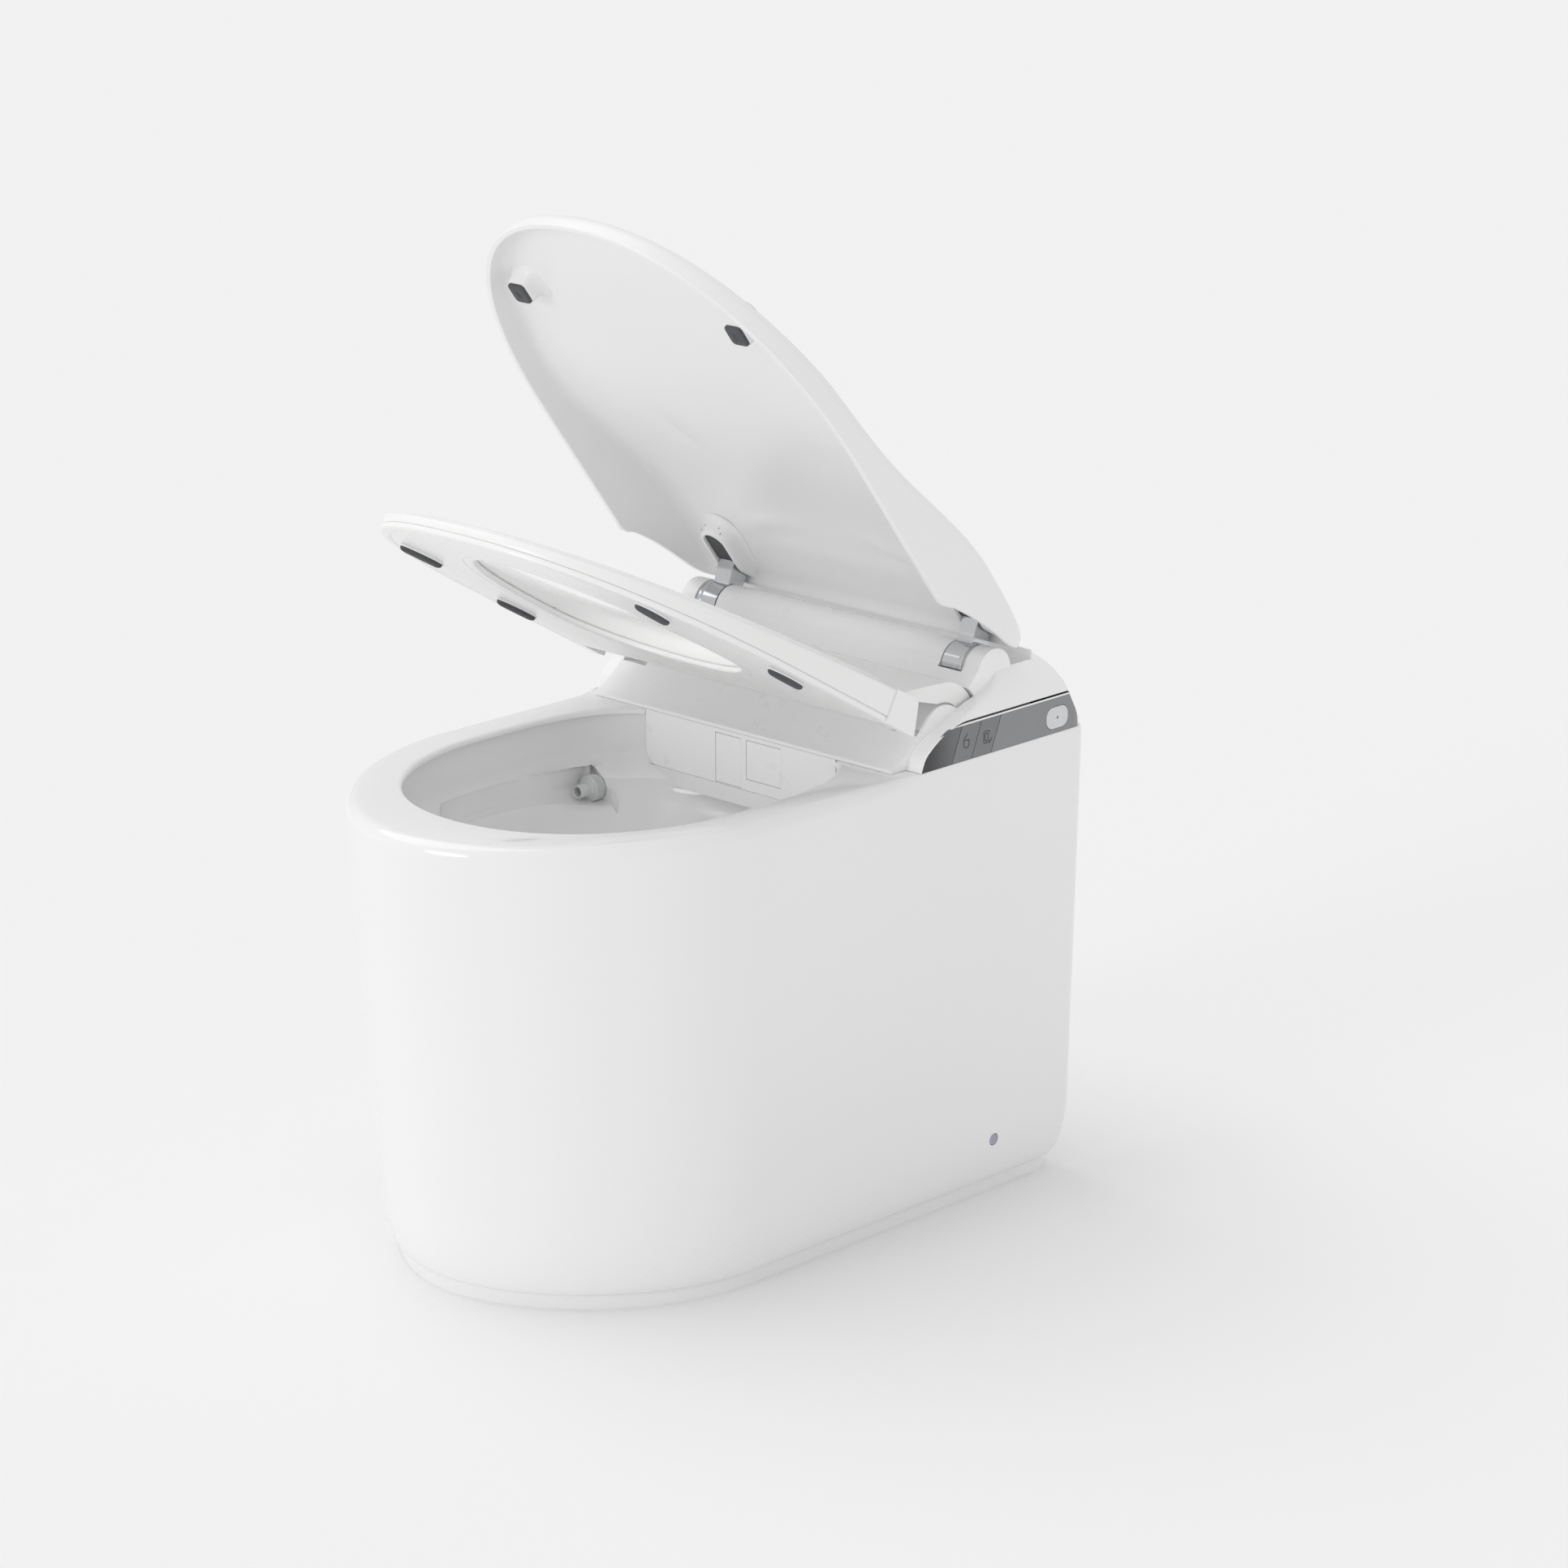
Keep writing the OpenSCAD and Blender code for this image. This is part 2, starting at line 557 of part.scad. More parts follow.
// A side outline in Y and Z, cut out of the housing's skin between two depths, round the rear corner too
module strip_skin(from, to) {
    intersection() {
        across(0, half_w + over) children();
        translate([0, 0, strip_z - over]) linear_extrude(strip_h + 2 * over) difference() {
            plan(from);
            plan(to);
        }
    }
}
button_back = 41;
button_at = [back_y - button_back, strip_z + strip_h * 0.44];
button_r = 8;
module button_shape(grow) {
    translate(button_at - [button_w / 2 + grow, button_h / 2 + grow])
        rounded_rect(button_w + 2 * grow, button_h + 2 * grow, button_r);
}
module strip_segment(y0, y1) {
    strip_skin(0, strip_t) intersection() {
        polygon(strip_outline);
        slanted_band(y0, y1);
    }
}
module display_window() {
    color(dark) strip_segment(ear_y - strip_h, key_y - key_gap);
}
module lid_key() {
    color(grey) strip_segment(key_y + key_gap, key_y + key_w - key_gap);
}
module seat_key() {
    color(grey) strip_segment(key_y + key_w + key_gap, key_y + 2 * key_w - key_gap);
}
module side_strip_right() {
    color(grey) difference() {
        strip_segment(key_y + 2 * key_w + key_gap, back_y + strip_h);
        across(strip_x - over, half_w) button_shape(clear);
    }
}
module flush_button() {
    color("#c9c9c9") across(strip_x, half_w - over / 2) button_shape(0);
}
module side_strip_left() {
    color(grey) mirror([1, 0, 0]) strip_skin(0, strip_t) polygon(strip_outline);
}

// Chassis: a plate on the ceramic deck, a tub hung in the bay and the hinge bearing blocks
plate_t = 4;
plate_z = rim_h + clear + plate_t;
tub_hw = bay_hw - run_gap;
tub_front = well_back + run_gap;
tub_back = back_y - bay_back - run_gap;
tub_z = rim_h - 2 * apron_drop;
plate_in = 13;
plate_front = apron_y + plate_in;
block_w = 16;
block_x = arm_x - run_gap - 2 * over - block_w;
seat_block_x = leg_x[0] - run_gap - block_w;
wand_y = 60;
wand_at = [apron_y + wand_y * cos(wand_slope), rim_h - apron_drop * 0.62 + wand_y * sin(wand_slope)];
chute_hw = wand_d;
module plate_outline(grow) {
    intersection() {
        plan(ear_w + cover_t - grow);
        translate([-half_w, plate_front - grow]) square([body_w, body_l]);
    }
}
module chassis() {
    color(grey) difference() {
        union() {
            translate([0, 0, rim_h + clear]) linear_extrude(plate_t) difference() {
                plate_outline(0);
                translate([-tub_hw + plate_t, tub_front + plate_t])
                    square([2 * (tub_hw - plate_t), tub_back - tub_front - 2 * plate_t]);
                translate([nozzle_x - chute_hw, plate_front - over])
                    square([2 * chute_hw, tub_front - plate_front + 3 * plate_t]);
            }
            // Tub walls and floor
            difference() {
                box([-tub_hw, tub_front, tub_z], [tub_hw, tub_back, rim_h + clear + over]);
                box([-tub_hw + plate_t, tub_front + plate_t, tub_z + plate_t],
                    [tub_hw - plate_t, tub_back - plate_t, plate_z + over]);
                box([nozzle_x - chute_hw, tub_front - over, rim_h - apron_drop],
                    [nozzle_x + chute_hw, tub_front + plate_t + over, plate_z + over]);
            }
            // Lid and seat bearing blocks
            both() {
                rod(block_x, lid_at, block_w, lid_shaft_d);
                box([block_x, lid_at.x - lid_shaft_d, plate_z - over], [block_x + block_w, lid_at.x + lid_shaft_d, lid_at.y]);
                rod(seat_block_x, seat_at, block_w, seat_pin_d * 1.2);
                box([seat_block_x, seat_at.x - seat_pin_d, plate_z - over],
                    [seat_block_x + block_w, seat_at.x + seat_pin_d, seat_at.y]);
            }
            both() box([block_x, tub_front - over, rim_h + clear], [block_x + block_w, lid_at.x + lid_shaft_d, plate_z]);
        }
        both() {
            rod(block_x - over, lid_at, block_w + 2 * over, lid_shaft_d / 2 + fit);
            rod(seat_block_x - over, seat_at, block_w + 2 * over, seat_pin_d / 2 + fit);
            for (b = bolt_at) translate([b.x, b.y, rim_h - over]) cylinder(h = 3 * plate_t, r = bolt_d / 2 + clear, $fn = fine);
        }
        // Hole for the dryer duct
        across(dryer_x - duct_hw - clear, dryer_x + duct_hw + clear) translate([tub_front - over, duct_low - clear])
            square([plate_t + 2 * over, duct_top - duct_low + 2 * clear]);
        // Hole for the inlet fitting
        translate([inlet_at.x, inlet_at.y, tub_z - over]) cylinder(h = 2 * plate_t + over, r = collar_r + clear, $fn = fine);
    }
}
bolt_d = 6;
bolt_head = 4;
inlet_r = 10.48;
collar_r = inlet_r * 1.25;
collar_t = 3;
inlet_l = 3 * inlet_r;
inlet_in = [32, 36];
inlet_at = [inlet_in[0] - bay_hw, back_y - bay_back - inlet_in[1]];
module chassis_bolts() {
    color(steel) both() for (b = bolt_at) translate([b.x, b.y, 0]) {
        translate([0, 0, plate_z]) cylinder(h = bolt_head, r = bolt_d, $fn = 6);
        translate([0, 0, rim_h - rim_r]) cylinder(h = plate_z - rim_h + rim_r + over, r = bolt_d / 2, $fn = fine);
    }
}

// Hinge hardware
lid_shaft_l = 50;
drive_r = barrel_r - cover_t - run_gap;
drive_l = 40;
module lid_shaft(x) {
    rod(x, lid_at, lid_shaft_l, lid_shaft_d / 2);
}
lid_shaft_x = arm_x + arm_w - over - lid_shaft_l;
module lid_shafts() {
    color(steel) both() lid_shaft(lid_shaft_x);
}
module lid_drives() {
    // A damped gearmotor on each shaft, against the bearing block
    color(dark) both() difference() {
        rod(block_x - clear - drive_l, lid_at, drive_l, drive_r);
        rod(block_x - drive_l / 2, lid_at, drive_l, lid_shaft_d / 2 + fit);
    }
}
module seat_pins() {
    color(steel) both() rod(pin_x[0], seat_at, pin_x[1] - pin_x[0], seat_pin_d / 2);
}
seat_drive_r = seat_at.y - plate_z - clear;
module seat_drives() {
    color(dark) both() difference() {
        rod(seat_block_x - clear - drive_l, seat_at, drive_l, seat_drive_r);
        rod(seat_block_x - drive_l / 2, seat_at, drive_l, seat_pin_d / 2 + fit);
    }
}

// Washing: a straight wand that slides down its guide through the nozzle door
module along_wand(at = 0) {
    translate([nozzle_x, wand_at.x, wand_at.y]) rotate([wand_slope, 0, 0]) translate([0, at, 0]) children();
}
wand_bore = 4;
nozzle_l = 22;
module wash_wand() {
    color(white) along_wand(nozzle_l) rotate([-90, 0, 0]) difference() {
        cylinder(h = wand_l - nozzle_l, r = wand_d / 2, $fn = fine);
        translate([0, 0, -over]) cylinder(h = wand_l - nozzle_l + 2 * over, r = wand_bore, $fn = fine);
    }
}
jet_r = 0.8;
module wand_nozzle() {
    color("#dcdcdc") along_wand() difference() {
        rotate([-90, 0, 0]) {
            cylinder(h = nozzle_l, r = wand_d / 2, $fn = fine);
            translate([0, 0, nozzle_l - over]) cylinder(h = wand_bore + over, r = wand_bore - fit, $fn = fine);
        }
        for (i = [0 : 3]) translate([0, wand_bore + i * 3 * jet_r, 0]) cylinder(h = wand_d, r = jet_r, $fn = fine);
    }
}
guide_t = 3;
guide_start = -0.8 * wand_y;
guide_l = wand_l - guide_start - guide_t * 3;
hanger_y = plate_front + 2 * plate_t;
post_y = wand_at.x + wand_l * 0.75;
post_t = 10;
function wand_z(y) = wand_at.y + (y - wand_at.x) * tan(wand_slope);
module wand_guide() {
    w = wand_d / 2 + guide_t;
    color(grey) difference() {
        union() {
            along_wand(guide_start) translate([-w, 0, -w]) cube([2 * w, guide_l, w + wand_d * 0.35]);
            // Hanger from the chassis plate
            box([nozzle_x - w, hanger_y, wand_z(hanger_y)], [nozzle_x + w, hanger_y + post_t, plate_z + guide_t]);
            box([nozzle_x - 2 * w, hanger_y, plate_z], [nozzle_x + 2 * w, hanger_y + post_t, plate_z + guide_t]);
            // Post on the tub floor
            box([nozzle_x - wand_d / 2, post_y, tub_z + plate_t], [nozzle_x + wand_d / 2, post_y + post_t, wand_z(post_y)]);
        }
        along_wand(-wand_l) rotate([-90, 0, 0]) cylinder(h = 3 * wand_l, r = wand_d / 2 + clear, $fn = fine);
        along_wand(-wand_l) translate([-wand_d * 0.3, 0, 0]) cube([wand_d * 0.6, 3 * wand_l, wand_d * 0.6]);
    }
}
motor_r = 12;
module wand_motor() {
    color(steel) rod(nozzle_x + wand_d / 2, [post_y + post_t / 2, rim_h - 3 * motor_r], 2 * motor_r, motor_r);
}

// Drying: a blower in the tub and its duct to the dryer door
blower_at = [dryer_x + 30, tub_front + 60];
blower_r = 32;
blower_h = 38;
tub_floor = tub_z + plate_t + clear;
duct_t = 2;
module dryer_blower() {
    color(dark) difference() {
        union() {
            translate([blower_at.x, blower_at.y, tub_floor]) cylinder(h = blower_h, r = blower_r, $fn = fine);
            translate([blower_at.x, blower_at.y, tub_floor]) cylinder(h = blower_h + duct_t, r = blower_r / 5, $fn = fine);
        }
        translate([blower_at.x - blower_r * 0.75, blower_at.y - blower_r * 0.65, tub_floor + duct_t])
            cube([blower_r * 0.3, blower_r * 0.4, blower_h]);
    }
}
duct_hw = dryer_door_w / 2 - 2 * run_gap;
duct_top = rim_h - 2 * duct_t;
duct_low = door_z - dryer_door_h + duct_t;
module dryer_duct() {
    x0 = dryer_x - duct_hw;
    x1 = dryer_x + duct_hw;
    y0 = apron_y + apron_t + 2 * run_gap;
    y1 = blower_at.y - blower_r * 0.8;
    y2 = blower_at.y - blower_r * 0.2;
    base = tub_floor + blower_h + clear;
    color(grey) difference() {
        across(x0, x1) polygon([[y0, duct_low], [y0, duct_top], [y2, duct_top], [y2, base], [y1, base], [y1, duct_low]]);
        across(x0 + duct_t, x1 - duct_t) polygon([[y0 - over, duct_low + duct_t], [y0 - over, duct_top - duct_t],
            [y2 - duct_t, duct_top - duct_t], [y2 - duct_t, base - over], [y1 + duct_t, base - over],
            [y1 + duct_t, duct_low + duct_t]]);
    }
}

// Water: inlet, heater, tank, pump and the pipe to the flush nozzle
heater_box = [60, 70, 42];
valve_box = [34, 34, 38];
tank_box = [56, 48, 78];
pump_r = 19;
pump_h = 60;
module standing_box(x, y, size) {
    translate([x, y, tub_floor]) cube(size);
}
module inlet_fitting() {
    color(steel) difference() {
        union() {
            translate([inlet_at.x - valve_box.x / 2, inlet_at.y - valve_box.y / 2, tub_floor]) cube(valve_box);
            translate([inlet_at.x, inlet_at.y, tub_z - collar_t])
                cylinder(h = collar_t + 2 * plate_t, r = collar_r, $fn = fine);
            translate([inlet_at.x, inlet_at.y, tub_z - collar_t - inlet_l])
                cylinder(h = inlet_l + plate_t, r = inlet_r, $fn = fine);
        }
        translate([inlet_at.x, inlet_at.y, tub_z - collar_t - inlet_l - over])
            cylinder(h = inlet_l + inlet_r, r = inlet_r / 2, $fn = fine);
    }
}
module water_heater() {
    color(white) standing_box(-tub_hw + plate_t + 2 * run_gap, tub_front + plate_t + 2 * run_gap, heater_box);
}
module flush_tank() {
    color("#d9dde0") standing_box(inlet_at.x + valve_box.x / 2 + 4 * run_gap,
        tub_back - plate_t - 2 * run_gap - tank_box.y, tank_box);
}
module flush_pump() {
    color(dark) translate([blower_at.x - blower_r / 3, tub_back - plate_t - 2 * run_gap - pump_r, tub_floor]) {
        cylinder(h = pump_h, r = pump_r, $fn = fine);
        translate([0, 0, pump_h]) cylinder(h = pump_r / 2, r = pump_r / 2, $fn = fine);
    }
}
board_box = [48, 116, 30];
module control_board() {
    color("#3f6b4a") standing_box(tub_hw - plate_t - 2 * run_gap - board_box.x, tub_front + plate_t + 2 * run_gap,
        board_box);
}
spout_r = 6;
module flush_nozzle() {
    y = flush_at.y + pocket_r * 0.6 - clear;
    color("#bfc2c4") translate([flush_at.x, y, flush_at.z]) rotate([90, 0, 0]) difference() {
        union() {
            cylinder(h = flush_ring_d * 0.55, r = flush_ring_d / 2, $fn = fine);
            cylinder(h = flush_ring_d, r = spout_r, $fn = fine);
        }
        translate([0, 0, flush_ring_d * 0.4]) cylinder(h = flush_ring_d, r = spout_r * 0.7, $fn = fine);
    }
}
pipe_r = 6;
module flush_pipe() {
    y0 = flush_at.y + pocket_r * 0.6;
    color(grey) translate([flush_at.x, y0, flush_at.z]) rotate([-90, 0, 0]) difference() {
        cylinder(h = tub_front - y0 - clear, r = pipe_r, $fn = fine);
        translate([0, 0, over]) cylinder(h = tub_front - y0, r = pipe_r * 0.7, $fn = fine);
    }
}
cap_t = 3;
module screw_caps() {
    color(grey) both() rod(half_w - side_lean - china_t * 0.5, [cap_y, cap_z], china_t * 0.5 - over, cap_d / 2 - clear);
}
bracket = [26, 30, 4];
bracket_x = half_w - plinth_in - china_t - clear;
module floor_brackets() {
    // An angle inside the skirt on each side, screwed to the floor and through the side hole
    x = bracket_x;
    color(steel) both() difference() {
        union() {
            box([x - bracket.x, cap_y - bracket.y / 2, 0], [x, cap_y + bracket.y / 2, bracket.z]);
            box([x - bracket.z, cap_y - bracket.y / 2, 0], [x, cap_y + bracket.y / 2, cap_z + cap_d]);
        }
        rod(x - bracket.z - over, [cap_y, cap_z], bracket.z + 2 * over, bolt_d / 2 + clear);
        translate([x - bracket.x / 2 - over, cap_y, -over]) cylinder(h = 2 * bracket.z, r = bolt_d / 2 + clear, $fn = fine);
    }
}
module side_screws() {
    x = bracket_x;
    color(steel) both() {
        rod(x - bracket.z - 3 * over, [cap_y, cap_z], half_w - side_lean - china_t - x + bracket.z + 5 * over, bolt_d / 2);
    }
}
seal_t = 8;
module drain_seal() {
    color(dark) translate([0, drain_y, 0]) difference() {
        cylinder(h = seal_t * 2, r = trap_r + trap_t + seal_t, $fn = fine);
        translate([0, 0, -over]) cylinder(h = seal_t * 2 + 2 * over, r = trap_r + trap_t + clear, $fn = fine);
    }
}

// Lid: drawn closed, with its shoulder line's lower edge as the origin, s forward along -Y and n up
lid_mid = -0.378 * lid_front_l;
heel_in = 106;
heel_drop = 25;
lid_heel = [lid_at.x - heel_in, lid_at.y - heel_drop];
lid_power = 2.2;
lid_rear_power = 22;
lid_edge_r = 13;
lid_crown = 4;
hump_at = -0.223 * lid_rear_l;
slope_end = 0.592 * lid_front_l;
nose_h = 27;
skirt_shares = [[0, 0], [0.098, 0.14], [0.18, 0.22], [0.36, 0.37], [0.55, 0.5], [0.7, 0.59], [0.87, 0.7], [1, 0.86]];
skirt_rise = 60;
function lid_skirt(s) = s >= 0 ? 0 : skirt_rise * lookup(-s / lid_rear_l, skirt_shares);
function lid_top(s) =
    s > slope_end ? mix(lid_tip_h, nose_h, min(1, (lid_front_l - s) / (lid_front_l - slope_end)))
    : mix(nose_h, lid_hump_h, pow(smooth((slope_end - s) / (slope_end - hump_at)), 1.5))
        - (s < hump_at ? 3 * pow((hump_at - s) / (lid_rear_l + hump_at), 2) : 0);
function lid_outline(inset, share = 1) =
    egg((lid_hw - inset) * share, (lid_front_l + lid_mid - inset) * share,
        (lid_rear_l - lid_mid - inset) * share, lid_power, lid_rear_power, lid_mid);
// Height over the closed lid's edge plane, with the skirt, the round edge and the crown
function lid_outer(inset, rise, crown) = [for (p = lid_outline(inset))
    let (low = lid_skirt(-p.y), high = lid_top(-p.y))
    [p.x, p.y, max(low, mix(low, high, rise)) + crown]];
function lid_inner(share, t, crown) = [for (p = lid_outline(0, share))
    let (high = lid_top(-p.y)) [p.x, p.y, high - t + crown * (1 - share * share)]];
edge_steps = 4;
lid_outside = concat([lid_outer(0, 0, 0)],
    [for (i = [0 : edge_steps]) let (a = 90 * i / edge_steps)
        [for (p = lid_outline(lid_edge_r * (1 - cos(a)))) let (low = lid_skirt(-p.y), high = lid_top(-p.y),
            r = min(lid_edge_r, (high - low) * 0.9)) [p.x, p.y, high - r * (1 - sin(a))]]],
    [for (share = [0.75, 0.5, 0.25]) lid_inner(share, 0, lid_crown)]);
lid_inside = concat([for (share = [0.25, 0.5, 0.75]) lid_inner(share, lid_t, lid_crown)],
    [[for (p = lid_outline(lid_t * 2.2)) [p.x, p.y, lid_top(-p.y) - lid_t]]],
    [[for (p = lid_outline(lid_t)) let (low = lid_skirt(-p.y), high = lid_top(-p.y))
        [p.x, p.y, max(low + (high - low) * 0.12, high - lid_t * 1.8)]]],
    [[for (p = lid_outline(lid_t)) [p.x, p.y, lid_skirt(-p.y)]]]);
module lid_frame() {
    turned(lid_at, lid_open) translate([0, lid_heel.x, lid_heel.y]) rotate([lid_tilt, 0, 0]) children();
}
buffer_at = [0.6614 * lid_hw, lid_mid - 0.585 * (lid_front_l + lid_mid)];
buffer = [18, 20, 3];
buffer_z = 7;
pad_h = 4;
arm_top = lid_hump_h - lid_t - pad_h;
arm_len = [26, 46];
module lid_blocks() {
    // Flat pads under the lid's ceiling that the arms are screwed to
    both() box([arm_x - over, lid_rear_l - arm_len[0] - arm_len[1], arm_top],
        [arm_x + arm_w + over, lid_rear_l - arm_len[0], lid_hump_h - lid_t + over]);
}
module lid_shell() {
    color(white) lid_frame() union() {
        loft(concat(lid_inside, [lid_outer(0, 0, 0)], [for (k = [1 : len(lid_outside) - 1]) lid_outside[k]]));
        lid_blocks();
        both() translate([buffer_at.x, buffer_at.y, buffer_z])
            cylinder(h = lid_top(-buffer_at.y) - lid_t * 0.4 - buffer_z, r = buffer.x / 2 - over, $fn = fine);
    }
}
module lid_buffers() {
    color(dark) lid_frame() both() translate([buffer_at.x - buffer.x / 2, buffer_at.y - buffer.y / 2, buffer_z - buffer.z])
        linear_extrude(buffer.z) rounded_rect(buffer.x, buffer.y, buffer.x * 0.22);
}
// Each arm: a hub on the lid shaft, a strap round its front and a flange under the lid
hub_r = 16;
strap_thick = 4;
module lid_arm() {
    difference() {
        union() {
            rod(arm_x, lid_at, arm_w, hub_r);
            turned(lid_at, -lid_open) across(arm_x, arm_x + arm_w) intersection() {
                difference() {
                    translate(lid_at) circle(r = hub_r + strap_thick, $fn = fine);
                    translate(lid_at) circle(r = hub_r - over, $fn = fine);
                }
                polygon(concat([lid_at], arc(lid_at, 2 * hub_r, 98, 225)));
            }
        }
        rod(arm_x - over, lid_at, arm_w + 2 * over, lid_shaft_d / 2 + fit);
    }
}
// The arm's outline in front and behind, as shares of the hub's radius from its axis, drawn closed
arm_front_shares = [[-1, 0.5], [-1.62, 1.3], [-1.85, 1.82]];
arm_rear_shares = [[-0.5, 1.85], [0.1, 0.7]];
module lid_arm_right() {
    color(steel) turned(lid_at, lid_open) lid_arm_shape();
}
module lid_arm_left() {
    color(steel) mirror([1, 0, 0]) turned(lid_at, lid_open) lid_arm_shape();
}
function in_lid(s, n) = [lid_heel.x - s * cos(lid_tilt) - n * sin(lid_tilt), lid_heel.y - s * sin(lid_tilt) + n * cos(lid_tilt)];
module lid_arm_shape() {
    top = arm_top - fit;
    union() {
        lid_arm();
        difference() {
            across(arm_x, arm_x + arm_w) polygon(concat([lid_at],
                [for (p = arm_front_shares) lid_at + p * hub_r],
                [in_lid(arm_len[0] + arm_len[1] - lid_rear_l - over, top - strap_thick * 0.7),
                    in_lid(arm_len[0] + arm_len[1] - lid_rear_l - over, top),
                    in_lid(arm_len[0] - lid_rear_l + over, top)],
                [for (p = arm_rear_shares) lid_at + p * hub_r]));
            rod(arm_x - over, lid_at, arm_w + 2 * over, lid_shaft_d / 2 + fit);
        }
    }
}
liner_t = 2;
module arm_liners() {
    // Dark liners beside each arm where it enters the lid
    color(dark) turned(lid_at, lid_open) both() for (x = [arm_x - liner_t - clear, arm_x + arm_w + clear])
        across(x, x + liner_t) polygon([
            in_lid(-lid_rear_l + arm_len[0] + 2 * over, arm_top - 3 * strap_thick),
            in_lid(-lid_rear_l + arm_len[0] + 2 * over, arm_top - clear),
            in_lid(-lid_rear_l + arm_len[0] + arm_len[1] - 2 * over, arm_top - clear),
            in_lid(-lid_rear_l + arm_len[0] + arm_len[1] - 2 * over, arm_top - 2 * strap_thick)]);
}

// Seat: drawn closed on the rim and turned about its own axis
seat_z = rim_h + seat_gap;
seat_tip = front_y + seat_front_in;
seat_rear_y = back_y - seat_rear_back;
seat_mid = mix(seat_rear_y, seat_tip, 0.344);
seat_rear_l = seat_rear_y - seat_mid;
seat_power = 2.35;
hole_front = seat_tip + seat_front_w;
hole_rear_y = seat_rear_y - seat_rear_w;
hole_mid = mix(hole_rear_y, hole_front, 0.297);
hole_rear_l = hole_rear_y - hole_mid;
seat_drop = 1;
module seat_frame() {
    turned(seat_at, seat_open) children();
}
seat_out = egg(seat_hw, seat_mid - seat_tip, seat_rear_l, seat_power, 20, seat_mid);
seat_in = egg(hole_hw, hole_mid - hole_front, hole_rear_l, 2.1, 2.1, hole_mid);
top_z = seat_z + base_t + fit;
function ledge_z(y) = lid_heel.y - seat_drop - (lid_heel.x - y) * tan(lid_tilt);
// The seat's section: way in from the outer edge as a share, and height as a share of the ledge's and crown's
section_shares = [[0, 0, 0], [0, 0.86, 0], [0.02, 1, 0], [0.1, 1, 0], [0.15, 1, 0.7], [0.26, 1, 1],
    [0.6, 0.9, 0.8], [0.85, 0.75, 0.3], [0.97, 0.5, 0], [1, 0.15, 0], [1, 0, 0]];
seat_sections = [for (i = [0 : len(ring_angles) - 1]) let (o = seat_out[i], q = seat_in[i], h = ledge_z(o.y) - top_z)
    [for (p = section_shares) [mix(o.x, q.x, p[0]), mix(o.y, q.y, p[0]), top_z + h * p[1] + crown_h * p[2]]]];
tail_r = trough_r - run_gap;
tail_in = core_r + run_gap;
tail_hw = ear_x - 2 * run_gap;
tail_a = [110, 64, 128];
tail_l = seat_at.x - seat_rear_y;
tail_y = [for (share = [-0.28, 0, 0.203, 0.219, 0.062, -0.047]) seat_rear_y + tail_l * share];
tail_profile = concat(
    [[tail_y[0], top_z + over], [tail_y[0], ledge_z(tail_y[0])], [tail_y[1], ledge_z(tail_y[1])],
        [tail_y[2], rim_h + lid_axis_up * 0.61]],
    arc(seat_at, tail_r, tail_a[0], tail_a[1], 6),
    arc(seat_at, tail_in, tail_a[1], tail_a[2], 8),
    [[tail_y[3], rim_h + lid_axis_up * 0.5], [tail_y[4], seat_at.y], [tail_y[5], top_z + over]]);
module seat_top() {
    color(white) seat_frame() union() {
        ring_loft(seat_sections);
        across(-tail_hw, tail_hw) polygon(tail_profile);
        // Legs down to the hinge pins
        both() difference() {
            across(leg_x[0], leg_x[1]) {
                translate(seat_at) circle(r = seat_pin_d * 1.1, $fn = fine);
                polygon(concat(arc(seat_at, seat_pin_d * 0.9, 190, 20, 4), arc(seat_at, tail_in + over, 72, 120, 4)));
            }
            rod(leg_x[0] - over, seat_at, leg_x[1] - leg_x[0] + 2 * over, seat_pin_d / 2 + fit);
        }
    }
}
heater_t = 0.6;
heater_in = 14;
module seat_heater() {
    color("#c46a2c") seat_frame() translate([0, 0, seat_z + base_t - heater_t - fit]) linear_extrude(heater_t)
        heater_plan(0);
}
module heater_plan(grow) {
    out = 2 * heater_in - grow;
    in = heater_in - grow;
    difference() {
        polygon(egg(seat_hw - out, seat_mid - seat_tip - out, seat_rear_l - out - heater_in, seat_power, 8, seat_mid));
        polygon(egg(hole_hw + in, hole_mid - hole_front + in, hole_rear_l + in / 2, 2.1, 2.1, hole_mid));
    }
}
base_rear = apron_y - run_gap - 1.2 * over;
module seat_base() {
    color(white) seat_frame() difference() {
        translate([0, 0, seat_z]) linear_extrude(base_t) difference() {
            intersection() {
                polygon(seat_out);
                translate([-half_w, front_y]) square([body_w, base_rear - front_y]);
            }
            polygon(seat_in);
        }
        translate([0, 0, seat_z + base_t - heater_t - 2 * fit]) linear_extrude(base_t) heater_plan(clear);
    }
}
pad = [13, 46];
// Each pad's place as shares of the seat's half width and of its length from the rear, and its turn
pad_at = [[0.718, 0.7044, 6], [0.8404, 0.3039, 3]];
pad_t = seat_gap - clear - fit;
module seat_pads() {
    color(dark) seat_frame() both() for (p = pad_at)
        translate([p.x * seat_hw, mix(seat_rear_y, seat_tip, p.y), seat_z - pad_t - fit]) rotate([0, 0, p[2]]) linear_extrude(pad_t)
            translate([-pad.x / 2, -pad.y / 2]) rounded_rect(pad.x, pad.y, pad.x * 0.49);
}

